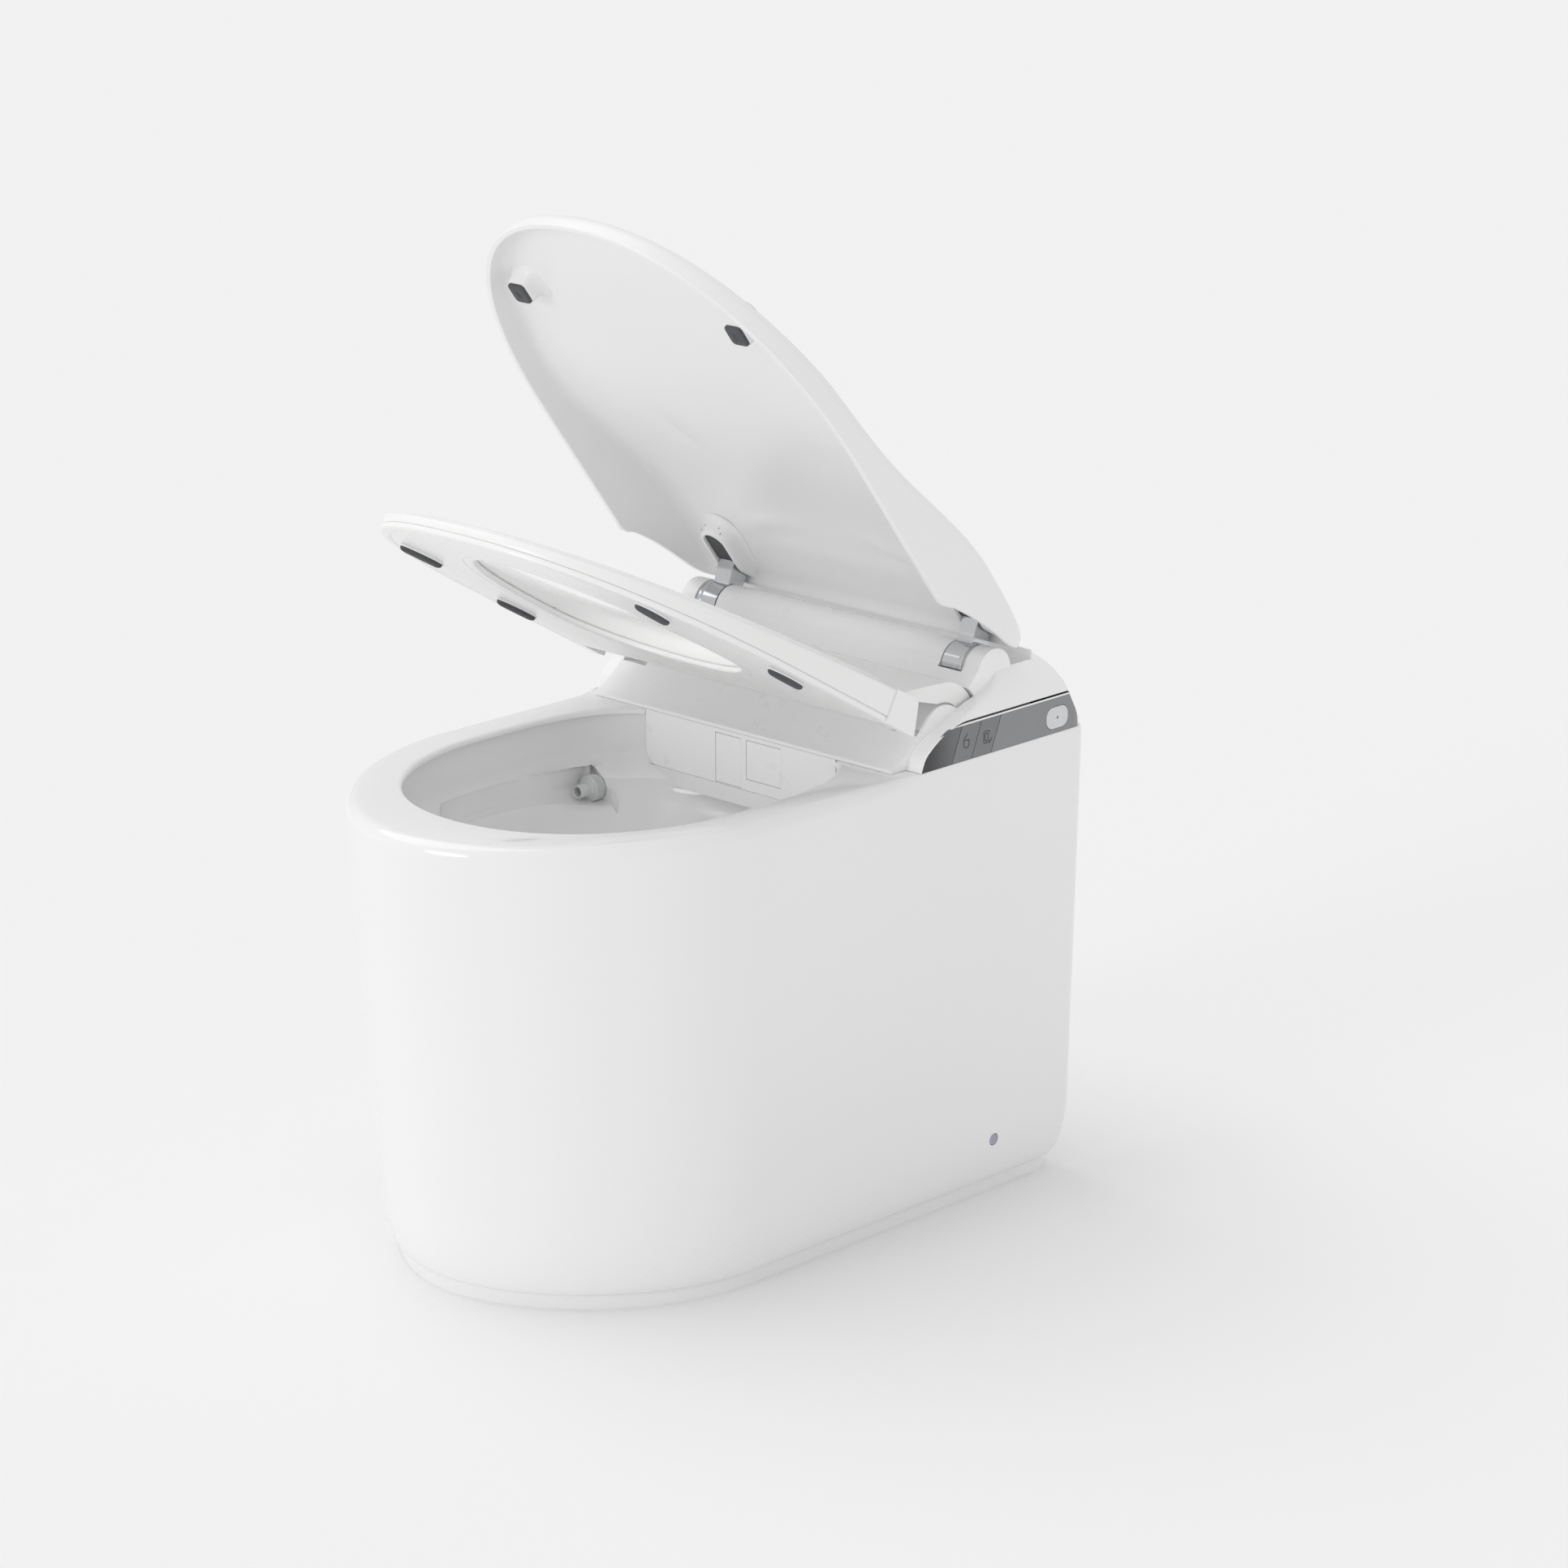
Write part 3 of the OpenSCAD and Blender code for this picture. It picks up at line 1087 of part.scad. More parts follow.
ceramic_body();
ceramic_skirt();
outlet_pipe();
drain_seal();
screw_caps();
side_screws();
floor_brackets();
flush_nozzle();
flush_pipe();
chassis();
chassis_bolts();
housing_cover();
front_apron();
display_window();
side_strip_right();
side_strip_left();
lid_drives();
seat_drives();
seat_pins();
wand_guide();
wand_motor();
dryer_blower();
dryer_duct();
inlet_fitting();
water_heater();
flush_tank();
flush_pump();
control_board();
lid_key();
seat_key();
flush_button();
nozzle_door();
dryer_door();
wash_wand();
wand_nozzle();
lid_shafts();
lid_arm_left();
lid_arm_right();
arm_liners();
lid_shell();
lid_buffers();
seat_base();
seat_heater();
seat_top();
seat_pads();
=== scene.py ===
import bpy
import bmesh
import numpy as np
from mathutils import Matrix, Vector


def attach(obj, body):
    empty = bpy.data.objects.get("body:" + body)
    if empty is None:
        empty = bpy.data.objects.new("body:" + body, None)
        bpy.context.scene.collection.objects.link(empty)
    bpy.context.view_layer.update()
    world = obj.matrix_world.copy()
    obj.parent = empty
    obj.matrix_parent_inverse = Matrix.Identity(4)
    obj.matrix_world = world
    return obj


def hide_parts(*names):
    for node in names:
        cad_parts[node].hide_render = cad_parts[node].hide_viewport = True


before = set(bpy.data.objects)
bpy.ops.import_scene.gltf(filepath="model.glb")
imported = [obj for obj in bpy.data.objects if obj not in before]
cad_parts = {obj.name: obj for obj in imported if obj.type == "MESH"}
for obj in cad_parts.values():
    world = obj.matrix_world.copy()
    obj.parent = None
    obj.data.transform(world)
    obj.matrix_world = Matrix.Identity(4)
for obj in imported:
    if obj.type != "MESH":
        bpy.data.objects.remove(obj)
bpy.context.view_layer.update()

# sizes, as in the source
BACK_Y, MID_Y = 308.5, -85.5
HALF_W, RIM_Z, CREST_H = 193.0, 400.0, 82.0
LID_AXIS = np.array([206.5, 462.0])
SEAT_AXIS = np.array([144.1, 420.0])
LID_TURN, LID_TILT, SEAT_TURN = 56.4, 2.75, 30.4
LID_HEEL = np.array([100.5, 437.0])
APRON_Y, DRAIN_Y, BOWL_MID = 81.5, 26.5, -68.5
COVER_Z, EAR_Y, EAR_X = 400.3, 99.1, 175.0
COVER_HW, COVER_BACK, COVER_R = 192.0, 303.5, 15.0
STRIP_X, STRIP_H, STRIP_Y, STRIP_L, STRIP_RAKE = 192.0, 30.0, 100.1, 199.9, 17.0
SCREW_AT, SIDES = np.array([199.5, 52.0]), (-1, 1)
SCREW_R, SCREW_PAD_R, SCREW_PAD, SCREW_BORE, CAP_X = 5.5, 11.0, (166.8, 178.8), (157, 205), 180.0


def eased(u):
    """u held between 0 and 1, then u squared times (3 less 2u), so that it starts and ends level"""
    u = np.clip(u, 0, 1)
    return u * u * (3 - 2 * u)


def mix(a, b, t):
    """a plus t times (b less a)"""
    return a + (b - a) * t


def through(points, x):
    """Height at x of a smooth curve through the points: a cubic between each two, whose slope at a point is
    the weighted harmonic mean of those beside it, or level if these differ in sign, so it never overshoots"""
    xs, ys = np.array(points, float).T
    order = np.argsort(xs)
    xs, ys = xs[order], ys[order]
    gap = np.diff(xs)
    rise = np.diff(ys) / gap
    slope = np.zeros_like(ys)
    before, after = rise[:-1], rise[1:]
    w1, w2 = 2 * gap[1:] + gap[:-1], gap[1:] + 2 * gap[:-1]
    same = before * after > 0
    bottom = np.where(same, w1 / np.where(same, before, 1) + w2 / np.where(same, after, 1), 1)
    slope[1:-1] = np.where(same, (w1 + w2) / bottom, 0)
    slope[0], slope[-1] = rise[0], rise[-1]
    k = np.clip(np.searchsorted(xs, x, side="right") - 1, 0, len(gap) - 1)
    t = (np.clip(x, xs[0], xs[-1]) - xs[k]) / gap[k]
    return (ys[k] * (1 + 2 * t) * (1 - t) ** 2 + slope[k] * gap[k] * t * (1 - t) ** 2
            + ys[k + 1] * t * t * (3 - 2 * t) + slope[k + 1] * gap[k] * t * t * (t - 1))


def arc(centre, radius, start, end, n=16):
    """Points at the radius from the centre, with the angle in degrees going evenly from start to end"""
    a = np.radians(np.linspace(start, end, n + 1))
    return np.asarray(centre) + radius * np.stack([np.cos(a), np.sin(a)], -1)


def quarter(half_width, length, power, n):
    """A quarter of a superellipse, (x/a)^p + (y/b)^p = 1, from the side to the end, evenly spaced along it"""
    corner = 2 ** (-1 / power)
    low = np.linspace(0, corner, 240)
    x = np.concatenate([(1 - low ** power) ** (1 / power), low[-2::-1]])
    y = np.concatenate([low, (1 - low[-2::-1] ** power) ** (1 / power)])
    points = np.stack([x * half_width, y * length], -1)
    along = np.concatenate([[0], np.cumsum(np.hypot(*np.diff(points, axis=0).T))])
    even = np.linspace(0, along[-1], n + 1)
    return np.stack([np.interp(even, along, points[:, 0]), np.interp(even, along, points[:, 1])], -1)


def egg(half_width, front_l, rear_l, front_power, rear_power, mid=0.0, n=48):
    """A closed ring of superellipse quarters about y = mid: rear right, rear left, front left, front right"""
    rear = quarter(half_width, rear_l, rear_power, n)
    front = quarter(half_width, front_l, front_power, n)
    ring = np.concatenate([rear[:-1], (rear * [-1, 1])[:0:-1], (front * [-1, -1])[:-1],
                           (front * [1, -1])[:0:-1]])
    return ring + [0, mid]


def at_height(ring, z):
    """A ring of X and Y points given a height, one number or one a point"""
    return np.concatenate([ring, np.broadcast_to(np.asarray(z, float).reshape(-1, 1), (len(ring), 1))], 1)


def turned(points, axis, degrees):
    """Points turned about a line along X through axis (Y, Z), as the hinges turn: rear down, front up"""
    a = np.radians(-degrees)
    out = np.array(points, float)
    y, z = out[..., 1] - axis[0], out[..., 2] - axis[1]
    out[..., 1] = axis[0] + y * np.cos(a) - z * np.sin(a)
    out[..., 2] = axis[1] + y * np.sin(a) + z * np.cos(a)
    return out


def on_lid(points):
    """Points drawn on the closed lid's edge plane (X, -forward, up) brought to the lid as it stands open"""
    out = np.array(points, float)
    out = turned(out, (0, 0), -LID_TILT) + [0, LID_HEEL[0], LID_HEEL[1]]
    return turned(out, LID_AXIS, LID_TURN)


def on_seat(points):
    """Points drawn on the closed seat brought to the seat as it stands raised"""
    return turned(points, SEAT_AXIS, SEAT_TURN)


def quads(rows, columns, around=False):
    """The faces between a grid's rows, whose last column joins the first where the grid goes around"""
    k = np.arange(rows * columns).reshape(rows, columns)
    if around:
        k = np.concatenate([k, k[:, :1]], 1)
    return np.stack([k[:-1, :-1], k[:-1, 1:], k[1:, 1:], k[1:, :-1]], -1).reshape(-1, 4)


def pole(ring):
    """A row of equal points at the ring's mean, which closes it once doubles are merged"""
    return np.broadcast_to(ring.mean(0), ring.shape)


def placed(name, data):
    """An object of a mesh, lamp or camera, or of a bmesh that this uses up, in the scene at the origin"""
    if isinstance(data, bmesh.types.BMesh):
        work, data = data, bpy.data.meshes.new(name)
        work.to_mesh(data)
        work.free()
    thing = bpy.data.objects.new(name, data)
    bpy.context.scene.collection.objects.link(thing)
    return thing


def bmesh_of(points, faces):
    """A bmesh of points in millimetres and faces"""
    mesh = bpy.data.meshes.new("raw")
    mesh.from_pydata((np.asarray(points) / 1000).tolist(), [], faces)
    work = bmesh.new()
    work.from_mesh(mesh)
    bpy.data.meshes.remove(mesh)
    return work


def mesh_object(name, sheets, closed=True):
    """One mesh of grids: each sheet is an array of rows, columns and X Y Z, with whether its columns go
    around. Doubles are merged and, on a closed surface, the faces turned outward."""
    points, faces, start = [], [], 0
    for sheet, around in sheets:
        rows, columns = sheet.shape[:2]
        points.append(np.asarray(sheet, float).reshape(-1, 3))
        faces.append(quads(rows, columns, around) + start)
        start += rows * columns
    work = bmesh_of(np.concatenate(points), np.concatenate(faces).tolist())
    bmesh.ops.remove_doubles(work, verts=work.verts, dist=2e-6)
    bmesh.ops.dissolve_degenerate(work, edges=work.edges, dist=1e-7)
    if closed:
        bmesh.ops.recalc_face_normals(work, faces=work.faces)
    return placed(name, work)


def capped(name, rings, around=True):
    """A closed surface through rings of as many points each, with a pole at each end"""
    return mesh_object(name, [(np.array([pole(rings[0]), *rings, pole(rings[-1])]), around)])


def prism(outline, low, high, axes=(1, 2, 0)):
    """A closed solid: an outline on the first two axes carried along the third, with a cap at each end"""
    rings = np.empty((2, len(outline), 3))
    rings[..., axes[:2]] = outline
    rings[..., axes[2]] = [[low], [high]]
    return capped("tool", rings)


def extruded(name, outline, low, high):
    """A closed solid with flat ends: any outline in Y and Z, carried along X from low to high"""
    n = len(outline)
    points = [[x, y, z] for x in (low, high) for y, z in outline]
    sides = [[i, (i + 1) % n, n + (i + 1) % n, n + i] for i in range(n)]
    work = bmesh_of(points, sides + [list(range(n))[::-1], list(range(n, 2 * n))])
    bmesh.ops.recalc_face_normals(work, faces=work.faces)
    return placed(name, work)


def block(low, high):
    """A closed box between two corners"""
    (x0, y0, z0), (x1, y1, z1) = low, high
    return extruded("tool", [[y0, z0], [y1, z0], [y1, z1], [y0, z1]], x0, x1)


def carve(thing, tools, operation="DIFFERENCE"):
    """The thing less its tools, or joined with them, worked out exactly; the tools are used up"""
    for tool in tools:
        step = thing.modifiers.new("carve", "BOOLEAN")
        step.operation, step.solver, step.object = operation, "EXACT", tool
    bpy.context.view_layer.update()
    graph = bpy.context.evaluated_depsgraph_get()
    mesh = bpy.data.meshes.new_from_object(thing.evaluated_get(graph))
    thing.modifiers.clear()
    thing.data = mesh
    for tool in tools:
        bpy.data.objects.remove(tool)
    return thing


def joined(name, things):
    """One object of several meshes"""
    work = bmesh.new()
    for thing in things:
        work.from_mesh(thing.data)
        bpy.data.objects.remove(thing)
    return placed(name, work)


def finished(thing, name, body, material, *nodes, sharp=32.0, bevel=0.0):
    """The named piece: smooth but for sharp edges, in its material, riding its body, in its nodes' place"""
    thing.name = thing.data.name = name
    thing.data.materials.clear()
    thing.data.materials.append(material)
    thing.data.shade_smooth()
    thing.data.set_sharp_from_angle(angle=np.radians(sharp))
    if bevel:
        edge = thing.modifiers.new("edge", "BEVEL")
        edge.width, edge.segments, edge.limit_method = bevel / 1000, 3, "ANGLE"
        edge.angle_limit = np.radians(40)
        edge.harden_normals = True
    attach(thing, body)
    if nodes:
        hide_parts(*nodes)
    return thing


def softened(node_name, name, body, material, bevel=0.4, sharp=34.0):
    """A CAD node's copy with its coplanar faces made whole and its edges rounded off, shown in its place"""
    work = bmesh.new()
    work.from_mesh(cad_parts[node_name].data)
    bmesh.ops.remove_doubles(work, verts=work.verts, dist=1e-6)
    bmesh.ops.dissolve_limit(work, angle_limit=np.radians(0.4), verts=work.verts, edges=work.edges)
    return finished(placed(name, work), name, body, material, node_name, sharp=sharp, bevel=bevel)


def revolved(name, profile, centre, axis, teeth=0, n=192):
    """A profile of distance along the axis, radius and tooth depth, turned about the axis through centre;
    where it has depth, the radius falls by it between the teeth, as a cosine round the axis"""
    axis = np.asarray(axis, float)
    side = np.cross(axis, [0.0, 0.0, 1.0] if abs(axis[2]) < 0.9 else [1.0, 0.0, 0.0])
    up = np.cross(side, axis)
    a = np.linspace(0, 2 * np.pi, n, endpoint=False)
    along, radius, depth = (np.asarray(column)[:, None] for column in np.array(profile, float).T)
    radius = radius - depth * (0.5 - 0.5 * np.cos(teeth * a))
    rings = (np.asarray(centre, float) + along[..., None] * axis
             + radius[..., None] * (np.cos(a)[:, None] * side + np.sin(a)[:, None] * up))
    return capped(name, rings)


def ribbon(points, width, low, high, loop=False):
    """A flat line drawn along points in Y and Z, of a width, standing from low to high along X"""
    points = np.asarray(points, float)
    if loop:
        points = np.concatenate([points[-1:], points, points[:2]])
    ahead = np.gradient(points, axis=0)
    ahead /= np.hypot(*ahead.T)[:, None]
    out = np.stack([-ahead[:, 1], ahead[:, 0]], -1) * width / 2
    corners = [(out, low), (out, high), (-out, high), (-out, low)]
    rows = np.stack([np.concatenate([np.full((len(points), 1), x), points + side], 1)
                     for side, x in corners], 1)
    return mesh_object("line", [(rows[1:-1], True)]) if loop else capped("line", rows)


# materials
def linear(colour):
    """An sRGB hex colour as linear red, green and blue with full alpha"""
    c = np.array([int(colour[i:i + 2], 16) for i in (1, 3, 5)]) / 255
    return (*np.where(c <= 0.04045, c / 12.92, ((c + 0.055) / 1.055) ** 2.4).tolist(), 1.0)


def add(tree, kind, sockets=None, **settings):
    """A shader node with its settings, whose sockets are given values, or links from other sockets"""
    made = tree.nodes.new("ShaderNode" + kind)
    for key, value in settings.items():
        setattr(made, key, value)
    for key, value in (sockets or {}).items():
        if isinstance(value, bpy.types.NodeSocket):
            tree.links.new(value, made.inputs[key])
        else:
            made.inputs[key].default_value = value
    return made


def moulded(name, colour, second, rough, grain_mm=1.2, bump=0.02, wave_mm=60.0, wave=0.0, mix_mm=180.0,
            **shader):
    """A surface whose colour drifts slowly between two near shades, whose gloss varies in patches, and whose
    skin has a fine grain of the given size in millimetres, with an optional slow waviness under it. The other
    arguments go to the shader's sockets of those names, with spaces for underscores."""
    material = bpy.data.materials.new(name)
    material.use_nodes = True
    tree = material.node_tree
    tree.nodes.clear()
    where = add(tree, "TexCoord").outputs["Object"]
    drift = add(tree, "TexNoise", {"Vector": where, "Scale": 1000 / mix_mm, "Detail": 3.0, "Roughness": 0.55})
    shades = add(tree, "Mix", {"Factor": drift.outputs["Fac"], 6: linear(colour), 7: linear(second)},
                 data_type="RGBA")
    patches = add(tree, "TexNoise", {"Vector": where, "Scale": 1000 / (mix_mm / 5), "Detail": 4.0})
    gloss = add(tree, "MapRange", {"Value": patches.outputs["Fac"], "From Min": 0.3, "From Max": 0.7,
                                   "To Min": rough[0], "To Max": rough[1]})
    grain = add(tree, "TexNoise", {"Vector": where, "Scale": 1000 / grain_mm, "Detail": 2.0})
    skin = add(tree, "Bump", {"Height": grain.outputs["Fac"], "Strength": bump, "Distance": 0.0004})
    normal = skin.outputs["Normal"]
    if wave:
        slow = add(tree, "TexNoise", {"Vector": where, "Scale": 1000 / wave_mm, "Detail": 1.0})
        normal = add(tree, "Bump", {"Height": slow.outputs["Fac"], "Strength": wave, "Distance": 0.001,
                                    "Normal": normal}).outputs["Normal"]
    named = {key.replace("_", " "): value for key, value in shader.items()}
    surface = add(tree, "BsdfPrincipled",
                  {"Base Color": shades.outputs[2], "Roughness": gloss.outputs["Result"],
                   "Normal": normal, **named})
    add(tree, "OutputMaterial", {"Surface": surface.outputs["BSDF"]})
    return material


# Vitreous china under a clear fired glaze: hard white, wet-looking, with a poured glaze's faint ripple
CHINA = moulded("glazed_vitreous_china", "#f1f1f1", "#f4f4f4", (0.09, 0.11), 6.0, 0.004, 90.0, 0.02,
                mix_mm=260.0, IOR=1.54, Coat_Weight=0.5, Coat_Roughness=0.03)
# Injection-moulded polypropylene, polished mould: the lid's soft satin shine
LID_PP = moulded("moulded_polypropylene_lid", "#f3f3f3", "#f6f6f6", (0.3, 0.32), 6.0, 0.004, IOR=1.49)
# The seat's warmer and glossier urea-filled polypropylene, rubbed smooth where people sit
SEAT_PP = moulded("moulded_seat_polypropylene", "#f5f5f4", "#f7f7f7", (0.24, 0.26), 6.0, 0.004, IOR=1.5)
# Injection-moulded ABS housing: a little sharper in its highlights than the lid
HOUSING_ABS = moulded("moulded_abs_housing", "#f7f7f7", "#f9f9f9", (0.27, 0.29), 6.0, 0.004, IOR=1.53)
# Silver-grey lacquered ABS of the side strips: metal flake too fine to see, so only a satin sparkle
STRIP_LACQUER = moulded("silver_lacquered_abs", "#8c8d8f", "#929395", (0.3, 0.38), 0.5, 0.05, mix_mm=40.0,
                        IOR=1.5, Metallic=0.35)
# The same lacquer on the keys, a shade darker where the film under it is backed in black
KEY_LACQUER = moulded("dark_silver_lacquered_abs", "#7e7f81", "#838486", (0.3, 0.34), 0.5, 0.03, mix_mm=40.0,
                      IOR=1.5, Metallic=0.35)
# Smoked acrylic over the display: near black and glossy
WINDOW = moulded("smoked_acrylic_window", "#3a3b3e", "#424347", (0.08, 0.13), 3.0, 0.01,
                 IOR=1.49, Coat_Weight=0.4, Coat_Roughness=0.05)
# Polished chrome plate over steel: mirror bright with fine wiping scratches
CHROME = moulded("polished_chrome_plate", "#c9cbce", "#d2d4d6", (0.1, 0.18), 0.35, 0.04, mix_mm=30.0,
                 Metallic=1.0)
# Zinc-plated steel: dull silver with a mottled spangle
ZINC = moulded("zinc_plated_steel", "#9fa2a6", "#b0b2b4", (0.35, 0.5), 0.8, 0.08, mix_mm=8.0, Metallic=1.0)
# Vulcanised rubber: charcoal, matt, with a faint bloom
RUBBER = moulded("vulcanised_rubber", "#4c4d50", "#545558", (0.62, 0.75), 0.6, 0.12, mix_mm=14.0, IOR=1.52)
# Unlacquered grey ABS of the chassis and ducts: pale, with a dull moulded grain
CHASSIS_ABS = moulded("moulded_grey_abs_chassis", "#c9cbcc", "#d0d2d3", (0.42, 0.52), 0.8, 0.08, IOR=1.53)
# Glass-filled nylon of the gearmotor cases: dark, with the dull swirl of the fibres
DRIVE_NYLON = moulded("glass_filled_nylon", "#3b3c3f", "#46474a", (0.5, 0.62), 0.5, 0.15, mix_mm=18.0,
                      IOR=1.53)
# Satin-silver painted button: light, with a soft metallic shine
BUTTON = moulded("satin_silver_button", "#d6d7d8", "#dbdcdd", (0.28, 0.34), 0.4, 0.03, mix_mm=25.0,
                 IOR=1.5, Metallic=0.2)
# Etched copper foil of the heating mat: warm, with a soft metal shine
FOIL = moulded("etched_copper_foil", "#b4693a", "#c27a48", (0.3, 0.45), 0.7, 0.06, mix_mm=12.0, Metallic=1.0)
# Solder-masked circuit board: green and half glossy
BOARD = moulded("solder_masked_board", "#2f6a45", "#3a7650", (0.3, 0.42), 1.5, 0.1, mix_mm=9.0, IOR=1.55)
# Stainless nozzle head, brushed round: grey metal with a blurred shine
NOZZLE = moulded("brushed_stainless_nozzle", "#b4b6b8", "#bfc1c3", (0.22, 0.32), 0.3, 0.08, mix_mm=10.0,
                 Metallic=1.0)
# Pale grey ABS of the flush nozzle: satin, moulded with crisp knurls
NOZZLE_ABS = moulded("moulded_pale_grey_abs", "#d3d4d5", "#dadbdc", (0.3, 0.4), 0.8, 0.05, mix_mm=12.0,
                     IOR=1.53)
# Lavender-grey polyethylene of the screw caps: slightly waxy
CAP_PE = moulded("moulded_lavender_polyethylene", "#a3a4b2", "#adaebb", (0.36, 0.44), 0.7, 0.05, mix_mm=6.0,
                 IOR=1.5)
# Pad-printed inks of the pictograms: flat and half matt
INK = moulded("dark_pad_printed_ink", "#2c2d2f", "#323335", (0.45, 0.55), 0.4, 0.06, mix_mm=5.0, IOR=1.5)
PALE_INK = moulded("white_pad_printed_ink", "#f0f0f0", "#eaeaea", (0.45, 0.55), 0.4, 0.06, mix_mm=5.0,
                   IOR=1.5)
# Milky polypropylene of the water tank and the wand: light glows a little way into it
MILKY = moulded("milky_polypropylene", "#dfe2e3", "#e7e9ea", (0.3, 0.4), 1.2, 0.04,
                IOR=1.49, Subsurface_Weight=0.15, Subsurface_Scale=0.004)


def graded(material, low, high, near, far):
    """The material's colour runs from one shade to another along Y, between two marks in millimetres"""
    tree = material.node_tree
    surface = next(node for node in tree.nodes if node.type == "BSDF_PRINCIPLED")
    place = add(tree, "TexCoord")
    parts = add(tree, "SeparateXYZ", {"Vector": place.outputs["Object"]})
    share = add(tree, "MapRange",
                {"Value": parts.outputs["Y"], "From Min": low / 1000, "From Max": high / 1000,
                 "To Min": 0.0, "To Max": 1.0}, interpolation_type="SMOOTHSTEP")
    shades = add(tree, "Mix", {"Factor": share.outputs["Result"], 6: linear(near), 7: linear(far)},
                 data_type="RGBA")
    tree.links.new(shades.outputs[2], surface.inputs["Base Color"])


# The display window's colour runs from near black at the front to a lighter grey towards the keys
graded(WINDOW, 103, 146, "#1b1c1e", "#66676a")

NODE_FINISH = {
    CHINA: ["ceramic_body", "ceramic_skirt"],
    LID_PP: ["lid_shell"],
    SEAT_PP: ["seat_top", "seat_base"],
    HOUSING_ABS: ["housing_cover", "front_apron", "nozzle_door", "dryer_door"],
    STRIP_LACQUER: ["side_strip_right", "side_strip_left", "lid_key", "seat_key"],
    WINDOW: ["display_window"],
    CHROME: ["lid_arm_left", "lid_arm_right", "lid_shafts"],
    ZINC: ["side_screws", "floor_brackets", "chassis_bolts", "seat_pins", "inlet_fitting"],
    RUBBER: ["drain_seal", "seat_pads", "lid_buffers"],
    CHASSIS_ABS: ["chassis", "wand_guide", "dryer_duct", "flush_pipe", "outlet_pipe", "screw_caps"],
    DRIVE_NYLON: ["lid_drives", "seat_drives", "dryer_blower", "flush_pump", "wand_motor", "arm_liners"],
    BUTTON: ["flush_button"],
    FOIL: ["seat_heater"],
    BOARD: ["control_board"],
    NOZZLE: ["wand_nozzle", "flush_nozzle"],
    MILKY: ["wash_wand", "water_heater", "flush_tank"],
}
for material, names in NODE_FINISH.items():
    for node_name in names:
        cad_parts[node_name].data.materials.clear()
        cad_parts[node_name].data.materials.append(material)

# china body
CORNER_R, SIDE_LEAN, NOSE_LEAN, BACK_LEAN = 16.0, 7.0, 32.0, 4.9
PLINTH_H, PLINTH_IN, PLINTH_FRONT_IN, FOOT_H = 13.0, 21.0, 45.0, 58.0
RIM_R, CHINA_T, NOSE_L, BODY_L = 12.0, 12.0, 223.0, 617.0
WALL_FOOT = PLINTH_H + FOOT_H


def skin_ring(z, side_in, nose_in, back_in, edge_in=0.0):
    """The body's outline at a height: straight sides, a quarter circle at each rear corner, a straight back
    and a superellipse nose of power 1.85; edge_in rounds the rim's edge and fades to a tenth where the
    housing begins"""
    hw, length = HALF_W - side_in, BODY_L - NOSE_L
    along = np.linspace(0.0, (length - CORNER_R - back_in) / length, 40)[1:-1]
    fade = mix(1.0, 0.1, eased((along - 0.40) / 0.07))
    side = np.stack([hw - edge_in * fade, MID_Y + length * along], -1)
    q = edge_in * 0.1
    bend = arc([hw - q - CORNER_R, MID_Y + length - back_in - q - CORNER_R], CORNER_R, 0, 90, 12)
    back = np.stack([np.linspace(bend[-1, 0], 0, 16)[1:-1], np.full(14, bend[-1, 1])], -1)
    right = np.concatenate([side, bend, back])
    nose = quarter(hw - edge_in, NOSE_L - nose_in - edge_in, 1.85, 48)
    nose = np.concatenate([(nose * [-1, -1])[:-1], (nose * [1, -1])[:0:-1]]) + [0, MID_Y]
    return at_height(np.concatenate([right, [[0, bend[-1, 1]]], (right * [-1, 1])[::-1], nose]), z)


def wall_ring(z, inset=0.0, edge_in=0.0):
    """The outline at a height of the leaning wall: the lean grows evenly from the rim down to the foot"""
    t = np.clip((RIM_Z - z) / (RIM_Z - WALL_FOOT), 0, None)
    return skin_ring(z, inset + SIDE_LEAN * t, inset + NOSE_LEAN * t, inset + BACK_LEAN * t, edge_in)


def foot_ring(t):
    """The outline of the rounded foot: a quarter ellipse from the plinth, t = 0, to the wall, t = 1"""
    c = 1 - np.sin(t * np.pi / 2)
    return skin_ring(PLINTH_H + FOOT_H * (1 - np.cos(t * np.pi / 2)), mix(SIDE_LEAN, PLINTH_IN - 2, c),
                     mix(NOSE_LEAN, PLINTH_FRONT_IN - 2, c), mix(BACK_LEAN, PLINTH_IN, c))


BOWL_Z = [1, 0.975, 0.9, 0.8, 0.68, 0.55, 0.42, 0.28, 0.15, 0.05, 0]
BOWL_W = [1, 1.03, 1.04, 1.02, 0.94, 0.82, 0.68, 0.5, 0.34, 0.22, 0.12]
BOWL_FRONT = [1, 1.03, 1.04, 1.02, 0.97, 0.9, 0.82, 0.72, 0.62, 0.54, 0.45]
BOWL_REAR = [1, 1, 1, 0.98, 0.78, 0.36, -0.02, -0.14, -0.24, -0.28, -0.32]
SUMP_Z, BOWL_HW, BOWL_FRONT_L, BOWL_REAR_L = 80.0, 154.0, 177.0, 168.0
FLUSH_X, FLUSH_Y, FLUSH_Z, FLUSH_HOLE_R = -134.0, 42.6, 334.5, 6.3
TRAP_R, TRAP_WALL, WEIR_Z = 26.0, 8.0, 174.0


